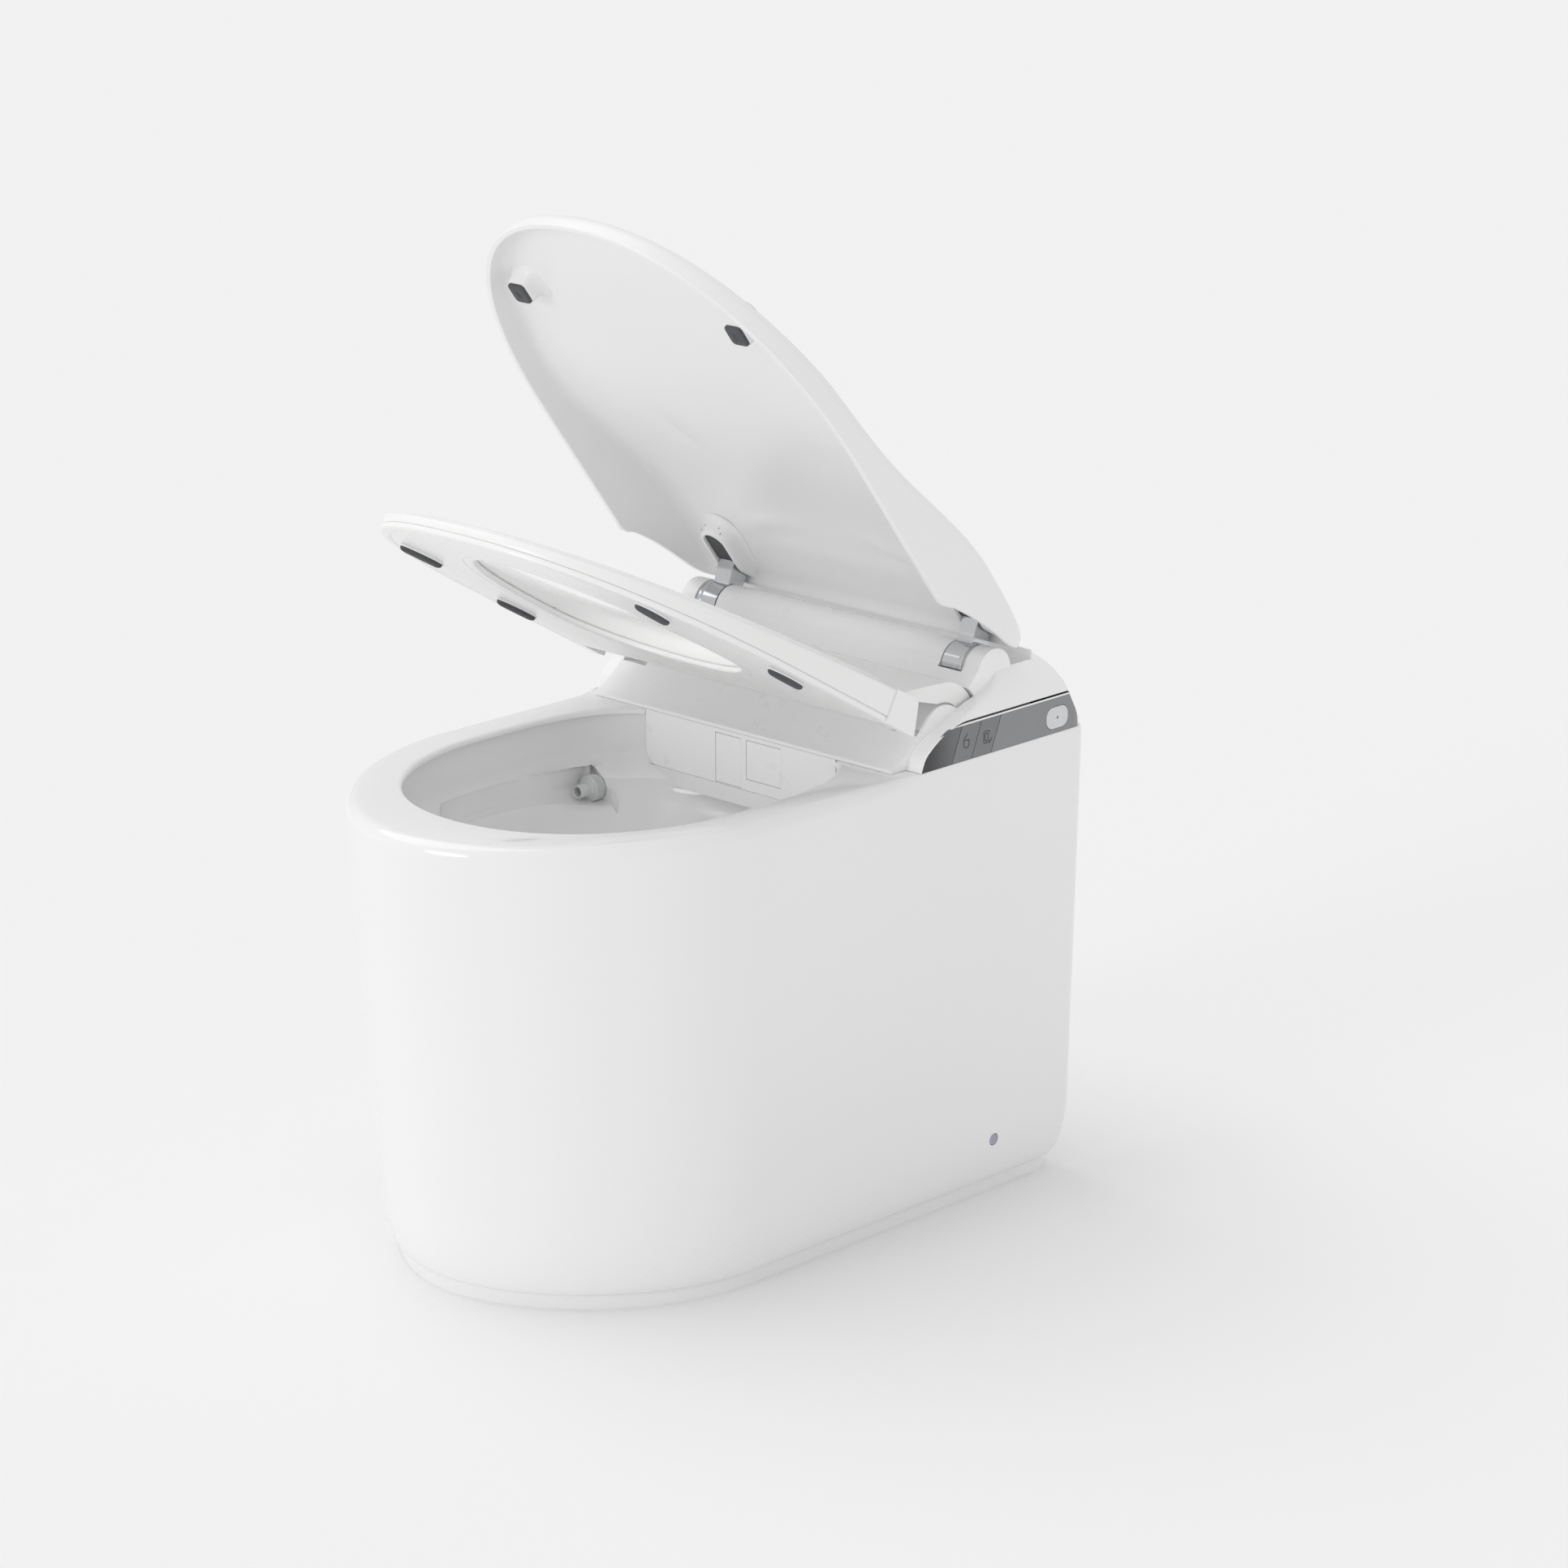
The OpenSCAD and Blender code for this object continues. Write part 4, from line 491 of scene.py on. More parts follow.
def bowl_ring(k, grow=0.0, drop=0.0, n=48):
    """The bowl's outline at level k, 0 at the rim to 10 at the sump: an egg whose width and lengths are
    smooth curves through the shares above, with a blunt rear down to level 2.4 that draws in below it; it
    turns evenly long in front and behind from level 4 to 7"""
    steps = np.arange(11)
    share = [through(list(zip(steps, s)), np.array([float(k)]))[0]
             for s in (BOWL_Z, BOWL_W, BOWL_FRONT, BOWL_REAR)]
    front, rear = BOWL_FRONT_L * share[2], BOWL_REAR_L * share[3]
    low, half = eased((k - 4) / 3), (front + rear) / 2
    step = eased((k - 2.35) / 0.45)
    power = mix(3.45 + 0.08 * k, mix(2.5, 2.1, k / 10), step)
    ring = egg(BOWL_HW * share[1] * (1 - 0.02 * step) + grow, mix(front, half, low) + grow,
               mix(rear, half, low) + grow, 2.1, power, BOWL_MID + low * (rear - front) / 2, n)
    return at_height(ring, mix(SUMP_Z, RIM_Z, share[0]) - drop)


def resampled(ring, like):
    """A ring with as many points as another, each at the other's angle about the bowl's middle"""
    centre = np.array([0, BOWL_MID])
    angle = np.unwrap(np.arctan2(*(ring[:, :2] - centre).T[::-1]))
    want = np.unwrap(np.arctan2(*(like[:, :2] - centre).T[::-1]))
    want = want + 2 * np.pi * np.round((angle.mean() - want.mean()) / (2 * np.pi))
    a = np.concatenate([angle - 2 * np.pi, angle, angle + 2 * np.pi])
    return np.stack([np.interp(want, a, np.tile(ring[:, i], 3)) for i in range(3)], -1)


def tube(path, radius, n=40):
    """A closed round bar of the radius along a path in Y and Z at x = 0, each ring square to the path"""
    path = np.asarray(path, float)
    ahead = np.gradient(path, axis=0)
    ahead /= np.hypot(*ahead.T)[:, None]
    a = np.linspace(0, 2 * np.pi, n, endpoint=False)
    side, up = np.cos(a) * radius, np.sin(a) * radius
    rings = np.stack([np.broadcast_to(side, (len(path), n)),
                      path[:, :1] - ahead[:, 1:] * up, path[:, 1:] + ahead[:, :1] * up], -1)
    return capped("tool", rings)


def trap_path(reach):
    """The trapway's middle line: back from the sump, up, in a half circle over the weir, down to the drain"""
    bend = TRAP_R + TRAP_WALL + 1.0
    up_y, trap_z = DRAIN_Y - 2 * bend, SUMP_Z + TRAP_R
    sump_y = BOWL_MID + (BOWL_REAR_L * BOWL_REAR[-1] - BOWL_FRONT_L * BOWL_FRONT[-1]) / 2
    return np.concatenate([[[sump_y + 10 - 8 * reach, trap_z]],
                           arc([up_y - bend, trap_z + bend], bend, -90, 0, 12),
                           arc([up_y + bend, WEIR_Z], bend, 180, 0, 24),
                           [[DRAIN_Y, WEIR_Z - max(reach, 0.05)]]])


def cylinder(centre, radius, low, high, along=0, n=64):
    """A closed cylinder about a point of the two other axes, from low to high along X, 0, or Y, 1"""
    ring = arc(centre, radius, 0, 360, n)[:-1]
    return prism(ring, low, high, ((1, 2, 0), (0, 2, 1))[along])


# The back of the wash channel seen from above, from the flush nozzle's wall forward to where it dies out
CHANNEL = np.array([[-149, 46], [-149, 38.9], [-151.5, 20], [-154.5, -5], [-157.3, -30], [-158.8, -60],
                    [-158, -90], [-154, -118]])
CHANNEL_TOP, CHANNEL_BEND = 351.5, 336
CHANNEL_LEVELS = (319.5, 320.5, 322, 324, 326.5, 329.5, 333, CHANNEL_BEND, CHANNEL_TOP)


def wash_channel():
    """The channel under the wash ledge, which dies out forward and ends in a wall behind the flush nozzle: an
    outline in X and Y at each level, moved in towards the bowl, below the bend, by the power 2.6 of the
    depth, which gives a hollow corner"""
    plan = np.concatenate([[[-100, -125], [-100, 43.9]], arc([-144, 38.9], 5.0, 90, 180, 8), CHANNEL[2:],
                           [[-148, -125]]])
    return capped("channel", [at_height(plan + [40 * (max(CHANNEL_BEND - z, 0) / 16.5) ** 2.6, 0], z)
                              for z in CHANNEL_LEVELS])


def channel_backs():
    """What stands behind and below the channel, so that it stays closed: a strip behind its back that runs
    into the bowl's wall forward, a floor below, and a boss behind the nozzle that follows the bowl's step"""
    rear = CHANNEL[:5]
    taper = np.array([[3, 0], [3, 0], [3, 0], [1, 0], [-3, 0]])
    strip = prism(np.concatenate([rear + [-7, 0], (rear + taper)[::-1]]), 300, CHANNEL_TOP + 0.2, (0, 1, 2))
    floor = prism([[-150, 46], [-116, 44.5], [-124, 30], [-131, 20], [-144, 0], [-148, -5], [-156, -5]],
                  300, CHANNEL_BEND, (0, 1, 2))
    boss = prism([[-158, 300], [-105, 300], [-112, 322], [-121, 334], [-129, 345], [-137, CHANNEL_TOP],
                  [-158, CHANNEL_TOP]], 43.5, 60, (0, 2, 1))
    return boss, strip, floor


WELL_HW, WELL_TOP, WELL_BEND_Z, WELL_R, WELL_Y = 112.6, 401, 364.3, 12.5, (80.5, 137.5)
BAY = ([-150, 136.5, 304], [150, 282.5, WELL_TOP])


def housing_well():
    """The recess for the apron in the bowl's rear wall, with rounded lower corners"""
    bend_x = WELL_HW - WELL_R
    outline = np.concatenate([[[-WELL_HW, WELL_TOP]], arc([-bend_x, WELL_BEND_Z], WELL_R, 180, 270, 8),
                              arc([bend_x, WELL_BEND_Z], WELL_R, 270, 360, 8), [[WELL_HW, WELL_TOP]]])
    return prism(outline, *WELL_Y, (0, 2, 1))


# The bowl's levels that get a ring, and those of its underside inside the skirt
BOWL_LEVELS = [0, 0.35, 0.7, 1, 1.4, 2, 2.3, 2.5, 2.65, 2.8, 3, 3.2] + [k / 2 for k in range(7, 21)]
UNDER_LEVELS = (10, 9, 8, 7, 6.5, 6, 5, 4, 3, 2)
RIM_EDGE = 4.5


def china_body():
    """Rings of the outer wall from the floor to the rim, then across the rim and down the bowl to the sump,
    and back up under the bowl and down inside the skirt; the trapway is joined on; wells and holes are cut"""
    outer = [skin_ring(z, PLINTH_IN, PLINTH_FRONT_IN, PLINTH_IN + 1) for z in (0, PLINTH_H - 1)]
    outer += [foot_ring(t) for t in np.linspace(0, 1, 15)]
    outer += [wall_ring(z) for z in np.linspace(WALL_FOOT, RIM_Z - RIM_R, 14)[1:-1]]
    quarter_turn = np.radians(np.linspace(0, 90, 9))
    outer += [wall_ring(RIM_Z - RIM_R * (1 - np.sin(a)), 0, RIM_R * (1 - np.cos(a))) for a in quarter_turn]
    bowl = [resampled(bowl_ring(k), outer[-1]) for k in BOWL_LEVELS]
    edge, across = bowl[0], outer[-1] - bowl[0]
    across = across / np.hypot(*across[:, :2].T)[:, None]
    bowl[0:1] = [edge + across * RIM_EDGE * (1 - np.sin(a)) - [0, 0, RIM_EDGE * (1 - np.cos(a))]
                 for a in np.radians(np.linspace(0, 90, 6))]
    under = [resampled(bowl_ring(k, CHINA_T, CHINA_T if k > 6 else 0), outer[-1]) for k in UNDER_LEVELS]
    under += [wall_ring(z, CHINA_T) for z in (bowl_ring(2)[0, 2], WALL_FOOT)]
    under += [skin_ring(z, PLINTH_IN + CHINA_T, PLINTH_FRONT_IN + CHINA_T, PLINTH_IN + CHINA_T)
              for z in (PLINTH_H, 0)]
    body = capped("china", under + outer + bowl)
    pads = [cylinder(SCREW_AT, SCREW_PAD_R, s * SCREW_PAD[0], s * SCREW_PAD[1]) for s in SIDES]
    boss, strip, floor = channel_backs()
    shelf = block([-125, 80.5, 338], [125, 148.5, CHANNEL_TOP + 0.3])
    carve(body, [tube(trap_path(0), TRAP_R + TRAP_WALL), boss, shelf, strip, floor] + pads, "UNION")
    holes = [tube(trap_path(1), TRAP_R), housing_well(), block(*BAY), wash_channel(),
             cylinder([FLUSH_X, FLUSH_Z], FLUSH_HOLE_R, FLUSH_Y - 9.9, FLUSH_Y + 24.1, along=1)]
    holes += [cylinder(SCREW_AT, SCREW_R, s * SCREW_BORE[0], s * SCREW_BORE[1]) for s in SIDES]
    return carve(body, holes)


finished(china_body(), "china_body", "toilet_base", CHINA, "ceramic_body", "ceramic_skirt", sharp=34)

# lid
LID_HW, LID_FRONT, LID_REAR, LID_MID, LID_T, SKIRT_RISE = 189.0, 397.0, 112.0, -150.0, 5.0, 60.0
LID_TIP_H, LID_HUMP_H, NOSE_H, HUMP_AT, SLOPE_END, EDGE_R, CROWN = 19.0, 64.0, 27.0, -25.0, 235.0, 13.0, 4.0
SKIRT = [[0, 0], [0.098, 0.14], [0.18, 0.22], [0.36, 0.37], [0.55, 0.5], [0.7, 0.59], [0.87, 0.7], [1, 0.86]]


def lid_skirt(s):
    """Height of the lid's lower edge: level in front of the shoulder line, and rising in a curve behind it"""
    return np.where(s >= 0, 0, SKIRT_RISE * through([[-0.1, 0]] + SKIRT, -s / LID_REAR))


def lid_top(s):
    """Height of the lid's top: a straight fall to the tip, and an eased rise from the nose to the hump"""
    tip = mix(LID_TIP_H, NOSE_H, np.minimum(1, (LID_FRONT - s) / (LID_FRONT - SLOPE_END)))
    rise = mix(NOSE_H, LID_HUMP_H, eased((SLOPE_END - s) / (SLOPE_END - HUMP_AT)) ** 1.5)
    back = np.where(s < HUMP_AT, 3 * (np.maximum(HUMP_AT - s, 0) / (LID_REAR + HUMP_AT)) ** 2, 0)
    return np.where(s > SLOPE_END, tip, rise - back)


def lid_outline(inset, share=1.0):
    """The lid seen from above: superellipses of power 2.2 in front and 22 behind, drawn in or scaled"""
    return egg((LID_HW - inset) * share, (LID_FRONT + LID_MID - inset) * share,
               (LID_REAR - LID_MID - inset) * share, 2.2, 22, LID_MID, 56)


def lid_relief(x, s):
    """How far the ceiling under the lid hangs down: a low swirl beside each arm and a shallow rib behind the
    middle, each a bell curve across its line that fades towards the line's ends"""
    side = np.abs(x)
    swirl = 2.2 * np.exp(-((s + 22 + 0.004 * (side - 40) ** 2) / 9) ** 2 - ((side - 68) / 34) ** 2)
    dent = -1.6 * np.exp(-((s - 112) / 34) ** 2 - ((side - 84 - 0.2 * (s - 112)) / 13) ** 2)
    rib = 1.4 * np.exp(-((s + 58) / 12) ** 2) * eased((105 - side) / 40)
    return swirl + dent + rib


def lid_rings():
    """Rings from the middle of the underside out to the skirt, round the edge and over the crowned top"""
    rings = []
    for share in np.linspace(0.04, 0.88, 40):
        p = lid_outline(0, share)
        drop = lid_relief(p[:, 0], -p[:, 1]) * eased((0.88 - share) / 0.15)
        rings.append(at_height(p, lid_top(-p[:, 1]) - LID_T + CROWN * (1 - share * share) - drop))
    for inset, down in ((16, 0.3), (12.5, 0.9), (9.5, 2.6), (7.2, 5.2), (6.0, 8.4), (5.4, 12)):
        p = lid_outline(inset)
        low, high = lid_skirt(-p[:, 1]), lid_top(-p[:, 1])
        rings.append(at_height(p, np.maximum(mix(low, high, 0.12), high - LID_T - down)))
    for inset, up in ((LID_T, 0.6), (LID_T - 0.6, 0), (0.7, 0), (0, 0.7)):
        p = lid_outline(inset)
        rings.append(at_height(p, lid_skirt(-p[:, 1]) + up))
    for a in np.radians(np.linspace(0, 90, 10)):
        p = lid_outline(EDGE_R * (1 - np.cos(a)))
        low, high = lid_skirt(-p[:, 1]), lid_top(-p[:, 1])
        r = np.minimum(EDGE_R, (high - low) * 0.9)
        rings.append(at_height(p, high - r * (1 - np.sin(a))))
    for share in (0.88, 0.8, 0.7, 0.55, 0.4, 0.25, 0.1):
        p = lid_outline(0, share)
        rings.append(at_height(p, lid_top(-p[:, 1]) + CROWN * (1 - share * share)))
    return rings


ARM_X, ARM_END, HOOD_REAR, SLOT_R, FOOT_AT = 143.0, -45.0, -108.5, 11.2, (125, 294.5)


def u_path(half_width, n=24):
    """Points in X and S round a slot open at the rear: up one side, a half circle in front, and down"""
    bend = arc([0, ARM_END - SLOT_R], half_width, 0, 180, n)
    run = np.linspace(HOOD_REAR, ARM_END - SLOT_R, 16)[:-1]
    right = np.stack([np.full(15, half_width), run], -1)
    return np.concatenate([right, bend, (right * [-1, 1])[::-1]])


def arm_hood(side):
    """The smooth collar that stands round the slot of an arm: a closed profile of distance out from the
    slot's middle and height, carried along the slot's U; it sinks into the lid's rear wall"""
    profile = [(SLOT_R, 50), (SLOT_R, 46.4), (11.5, 45.6), (12.1, 45.2), (13.6, 45.3), (14.8, 46.0),
               (15.7, 47.6), (16.4, 50.2), (17.2, 53.4), (18.6, 56.2), (20.8, 58.2), (24, 59.5), (24, 60.5),
               (SLOT_R, 60.5)]
    rows = []
    for out, height in profile:
        path = u_path(out)
        sink = eased((-83 - path[:, 1]) / 25)
        fall = 3 * np.clip((HUMP_AT - path[:, 1]) / (LID_REAR + HUMP_AT), 0, 1) ** 2
        z = mix(height, 53.0 + (height - 45) * 0.45, sink) - fall * eased((height - 45) / 10)
        rows.append(np.stack([side * ARM_X + path[:, 0], -path[:, 1], z], -1))
    return capped("hood", np.stack(rows + [rows[0]], 1), False)


def foot_post(side):
    """The white post behind a rubber foot: rounded squares that widen and lean forward to the ceiling"""
    x, s = FOOT_AT
    rings, ceiling, start = [], float(lid_top(s)) - LID_T, 6.8
    for grow, share in ((0, 0), (0.9, 0.05), (1.3, 0.3), (2.2, 0.6), (4.0, 0.82), (7.5, 0.96), (9.5, 1.12)):
        ring = egg(9.6 + grow, 10.6 + grow * 1.3, 10.6 + grow, 4.2, 4.2, 0, 12)
        rings.append(at_height(ring + [side * x, -s - 2.0 * share], mix(start, ceiling + 1, share)))
    return capped("post", rings)


def moved(thing, how):
    """The thing with its points put through a function of millimetres"""
    points = np.empty(len(thing.data.vertices) * 3)
    thing.data.vertices.foreach_get("co", points)
    thing.data.vertices.foreach_set("co", (how(points.reshape(-1, 3) * 1000) / 1000).ravel())
    thing.data.update()
    return thing


def lid_foot(side):
    """A rubber foot: a rounded square with soft edges and a small square dimple in the middle of its face"""
    x, s = FOOT_AT
    levels = ((0.6, 7.0), (0, 6.6), (0, 4.9), (0.35, 4.3), (1.1, 4.02), (6.0, 4.0), (6.4, 4.25), (7.4, 5.0))
    return capped("foot", [at_height(egg(9 - inset, 10 - inset, 10 - inset, 6, 6, 0, 10) + [side * x, -s], z)
                           for inset, z in levels])


PLATE_Z, LINING_X, LINING_T = (48.3, 51.7), (131.75, 152.35), 1.9
LINING = [[80, 49], [80, 54.5], [44, 54.5], [44, 49]]


def arm_lining(side):
    """The dark lining of an arm's slot: a plate with a round front over the arm's flange, and two cheeks"""
    half = SLOT_R - 0.05
    plan = np.concatenate([[[half, -78]], arc([0, ARM_END - SLOT_R], half, 0, 180, 24), [[-half, -78]]])
    rings = np.array([at_height(plan * [side, 1], z) for z in PLATE_Z])
    parts = [capped("plate", rings * [1, -1, 1] + [side * ARM_X, 0, 0])]
    for x in LINING_X:
        low, high = sorted((side * x, side * (x + LINING_T)))
        parts.append(extruded("cheek", LINING, low, high))
    return joined("lining", parts)


lid = joined("lid", [capped("lid", lid_rings())]
             + [part(side) for side in SIDES for part in (arm_hood, foot_post)])
finished(moved(lid, on_lid), "lid_skin", "lid", LID_PP, "lid_shell", sharp=40)
finished(moved(joined("feet", map(lid_foot, SIDES)), on_lid), "lid_feet", "lid", RUBBER, "lid_buffers",
         sharp=30)
finished(moved(joined("linings", map(arm_lining, SIDES)), on_lid), "arm_linings", "lid", DRIVE_NYLON,
         "arm_liners", sharp=30)
softened("lid_arm_left", "chrome_arm_left", "lid", CHROME, 0.7)
softened("lid_arm_right", "chrome_arm_right", "lid", CHROME, 0.7)


def hub_rings(name, profile):
    """Rings about the lid's axis beside each arm: a profile of distance out along the axis and radius"""
    rows = [(along, radius, 0) for along, radius in profile]
    return joined(name, [revolved(name, rows, [side * HUB_X, *LID_AXIS], [side, 0, 0], n=128)
                         for side in SIDES])


# A chrome band and a pale disc close the gap between each arm and the end of its slot
HUB_X = 152.0
BAND = [(-0.5, 15), (-0.5, 20.2), (0.2, 20.5), (3.4, 20.5), (3.9, 20.1), (4.0, 19.2), (4.0, 15)]
DISC = [(3.8, 0.2), (3.8, 19.0), (5.6, 19.0), (6.2, 18.4), (6.3, 17.4), (6.1, 12.0), (5.7, 11.4), (5.7, 0.2)]
finished(hub_rings("bands", BAND), "hub_bands", "lid", CHROME, sharp=30)
finished(hub_rings("discs", DISC), "hub_discs", "lid", NOZZLE_ABS, sharp=30)

# seat
SEAT_HW, SEAT_TIP, SEAT_MID, SEAT_REAR, SEAT_Z, SEAT_TOP_Z = 188.0, -293.5, -56.03, 124.53, 405.0, 410.05
PIN_R, BOSS_R, LEG_R, TROUGH_R, SEAT_CROWN, SEAT_LEG = 4.05, 8.8, 28.5, 44.5, 5.0, (148, 170)
HOLE_HW, HOLE_FRONT, HOLE_MID, HOLE_REAR, SEAT_POWER = 100.0, -229.5, -56.56, 73.06, 2.35
SECTION = [[0, 0, 0], [0, 0.86, 0], [0.02, 1, 0], [0.1, 1, 0], [0.15, 1, 0.7], [0.26, 1, 1], [0.6, 0.9, 0.8],
           [0.85, 0.75, 0.3], [0.97, 0.5, 0], [1, 0.15, 0], [1, 0, 0]]


def ledge_z(y):
    """Height of the seat's outer ledge, which lies close under the closed lid's edge"""
    return LID_HEEL[1] - 1 - (LID_HEEL[0] - y) * np.tan(np.radians(LID_TILT))


def seat_outlines(n=72):
    """The seat's outer edge and the hole's edge, with as many points each, at matching places"""
    return (egg(SEAT_HW, SEAT_MID - SEAT_TIP, SEAT_REAR, SEAT_POWER, 20, SEAT_MID, n),
            egg(HOLE_HW, HOLE_MID - HOLE_FRONT, HOLE_REAR, 2.1, 2.1, HOLE_MID, n))


def seat_sections():
    """The seat's cross-section carried round it: from the outer edge up, over the ledge and the comfort
    crown, and down round the hole's edge. Each level is a share of the way in, of the ledge's height and of
    the crown's, and the lowest levels draw in by a millimetre for the joint line over the base."""
    outer, inner = seat_outlines()
    fine = np.unique(np.concatenate([np.linspace(0, 1, 3), np.linspace(1, 2, 4), np.linspace(2, 10, 41)]))
    share, height, crown = (through([[k, row[i]] for k, row in enumerate(SECTION)], fine) for i in range(3))
    rise = ledge_z(outer[:, 1]) - SEAT_TOP_Z
    rows = [at_height(mix(outer, inner, a), SEAT_TOP_Z + up) for a, up in ((0.014, 0), (0.006, 0.35))]
    for a, h, c in zip(share, height, crown):
        rows.append(at_height(mix(outer, inner, a),
                              SEAT_TOP_Z + rise * h + SEAT_CROWN * c + (1.0 if h == 0 else 0)))
    rows += [at_height(mix(outer, inner, a), SEAT_TOP_Z + up) for a, up in ((0.994, 0.35), (0.986, 0))]
    return mesh_object("seat", [(np.array(rows + rows[:1]), True)])


def seat_base():
    """The base plate's cross-section carried round: a rounded outer edge, a fine joint groove on the
    underside beside each edge, and a rounded edge at the hole; each level is millimetres in from the outer
    edge or the hole, and up"""
    outer, inner = seat_outlines()
    width = np.hypot(*(inner - outer).T)[:, None]
    edge = [(1.3, 5.0), (0.6, 4.75), (0.25, 4.2), (0.2, 2.6), (0.6, 1.2), (1.6, 0.35), (3.4, 0.0), (9.0, 0.0),
            (9.15, 0.55), (9.95, 0.55), (10.1, 0.0)]
    rows = [at_height(outer + (inner - outer) * (a / width), SEAT_Z + up) for a, up in edge]
    rows += [at_height(mix(outer, inner, a), SEAT_Z) for a in (0.35, 0.5, 0.65)]
    rows += [at_height(inner + (outer - inner) * (a / width), SEAT_Z + up) for a, up in edge[::-1]]
    return mesh_object("base", [(np.array(rows + rows[:1]), True)])


# Each pad's share of the half width, its share of the way from the rear to the tip, and its turn in degrees
PADS = [[0.718, 0.7044, 6.0], [0.8404, 0.3039, 3.0]]
PAD_HW, PAD_L = 6.5, 23.0


def lens(half_width, half_length, n=16):
    """The pads' outline: its half width falls with the square of the way along, to two fifths at the blunt
    ends, and rounds off at the very ends with the root of one less the twelfth power"""
    u = np.sin(np.linspace(-np.pi / 2, np.pi / 2, 2 * n + 1))
    w = half_width * (1 - 0.6 * u ** 2) * np.sqrt(1 - np.abs(u) ** 12)
    return np.concatenate([np.stack([w, u * half_length], -1), np.stack([-w, u * half_length], -1)[-2:0:-1]])


def seat_pad(side, place, grow, levels):
    """Rings of the lens outline, grown and lowered by each level, at a pad's place and turn under the seat"""
    across, along, degrees = place
    a = np.radians(side * degrees)
    turn = np.array([[np.cos(a), np.sin(a)], [-np.sin(a), np.cos(a)]])
    middle = [side * across * SEAT_HW, mix(SEAT_MID + SEAT_REAR, SEAT_TIP, along)]
    return capped("pad", [at_height(lens(PAD_HW + grow + out, PAD_L + grow + out) @ turn + middle,
                                    SEAT_Z - down)
                          for out, down in levels])


def seat_tail():
    """The seat's rear, carried across: from the ring over to the trough's radius and round the hinge core"""
    rear = SEAT_MID + SEAT_REAR
    y = rear + (SEAT_AXIS[0] - rear) * np.array([-0.28, 0, 0.203, 0.219, 0.062, -0.047])
    outline = np.concatenate([
        [[y[0], SEAT_TOP_Z + 1], [y[0], ledge_z(y[0])], [y[1], ledge_z(y[1])], [y[2], 437.8]],
        arc(SEAT_AXIS, TROUGH_R, 110, 64, 14), arc(SEAT_AXIS, LEG_R - 1, 64, 128, 20),
        [[y[3], 431], [y[4], 420], [y[5], SEAT_TOP_Z + 1]]])
    return extruded("tail", outline, -172, 172)


def seat_legs():
    """A leg at each side from the tail down to its pin, with the pin's hole through it"""
    legs = []
    for side in SIDES:
        low, high = sorted((side * SEAT_LEG[0], side * SEAT_LEG[1]))
        outline = np.concatenate([arc(SEAT_AXIS, 7.2, 190, 20, 12), arc(SEAT_AXIS, LEG_R, 72, 120, 12)])
        leg = carve(extruded("leg", outline, low, high), [cylinder(SEAT_AXIS, BOSS_R, low, high)], "UNION")
        legs.append(carve(leg, [cylinder(SEAT_AXIS, PIN_R, low - 1, high + 1)]))
    return legs


def seat_cheek(side):
    """The end of the seat's side band, carried back to the ear; its rounded rear edge leans forward"""
    top = [[y, ledge_z(y)] for y in (58.0, 66.0, 74.0, 80.0)]
    outline = np.concatenate([[[58, SEAT_Z + 0.2], [92.5, SEAT_Z + 0.2]],
                              arc([93.4, SEAT_Z + 2.2], 2.2, -60, 20, 5), arc([84.2, 430.2], 3.4, 15, 80, 6),
                              top[::-1]])
    low, high = sorted((side * 176.4, side * (SEAT_HW - 0.5)))
    return extruded("cheek", outline, low, high)


# Levels of the low rims that hold the pads, and of the pads: millimetres out from the pad's outline, and down
RIM_LEVELS = ((1.5, -0.6), (1.5, 0.0), (1.2, 0.5), (0.7, 0.7), (0.1, 0.6), (-0.1, 0))
PAD_LEVELS = ((0, 0.05), (0, 1.9), (-0.5, 2.9), (-1.5, 3.6), (-3.2, 4.2), (-5.0, 4.5))
rims, pads = ([seat_pad(side, place, grow, levels) for side in SIDES for place in PADS]
              for grow, levels in ((0.2, RIM_LEVELS), (0.0, PAD_LEVELS)))
seat = joined("seat", [seat_sections(), seat_tail(), *seat_legs(), *map(seat_cheek, SIDES)])
finished(moved(seat, on_seat), "seat_skin", "seat", SEAT_PP, "seat_top", sharp=36)
finished(moved(joined("base", [seat_base()] + rims), on_seat), "seat_base_skin", "seat", SEAT_PP, "seat_base",
         sharp=30)
finished(moved(joined("pads", pads), on_seat), "rubber_pads", "seat", RUBBER, "seat_pads", sharp=30)

# housing
DECK = [[0.545, 0.88], [0.47, 0.828], [0.4, 0.747], [0.336, 0.656], [0.287, 0.546], [0.24, 0.38], [0.0735, 0]]
EARS = [[0, 0], [0.035, 0.115], [0.095, 0.2], [0.18, 0.277], [0.307, 0.348], [0.476, 0.44], [0.627, 0.517],
        [0.78, 0.58], [0.89, 0.646], [0.96, 0.75], [0.99, 0.866], [1, 1]]
SHOULDER = [[1, 0.39], [0.98, 0.52], [0.948, 0.65], [0.911, 0.77], [0.86, 0.88], [0.785, 0.955],
            [0.63, 0.995], [0.31, 1.012], [0, 1.02]]
SCOOP = [[0, 0], [0.16, 0.086], [0.386, 0.257], [0.66, 0.53], [0.864, 0.8]]
EAR_L, DECK_L = LID_AXIS[0] + 4.8 - EAR_Y, 102
DECK_Y = BACK_Y - DECK[0][0] * DECK_L
CORE_R, BEARING_R, BARREL_R, RECESS_R, STRIP_SEAT = 26, 46, 20, 47, 3.3
ARM_SLOT, SEAT_POCKET, SWEEP_R, PIN_WELL_R = (132.5, 159), (145, 173), 33.8, 12


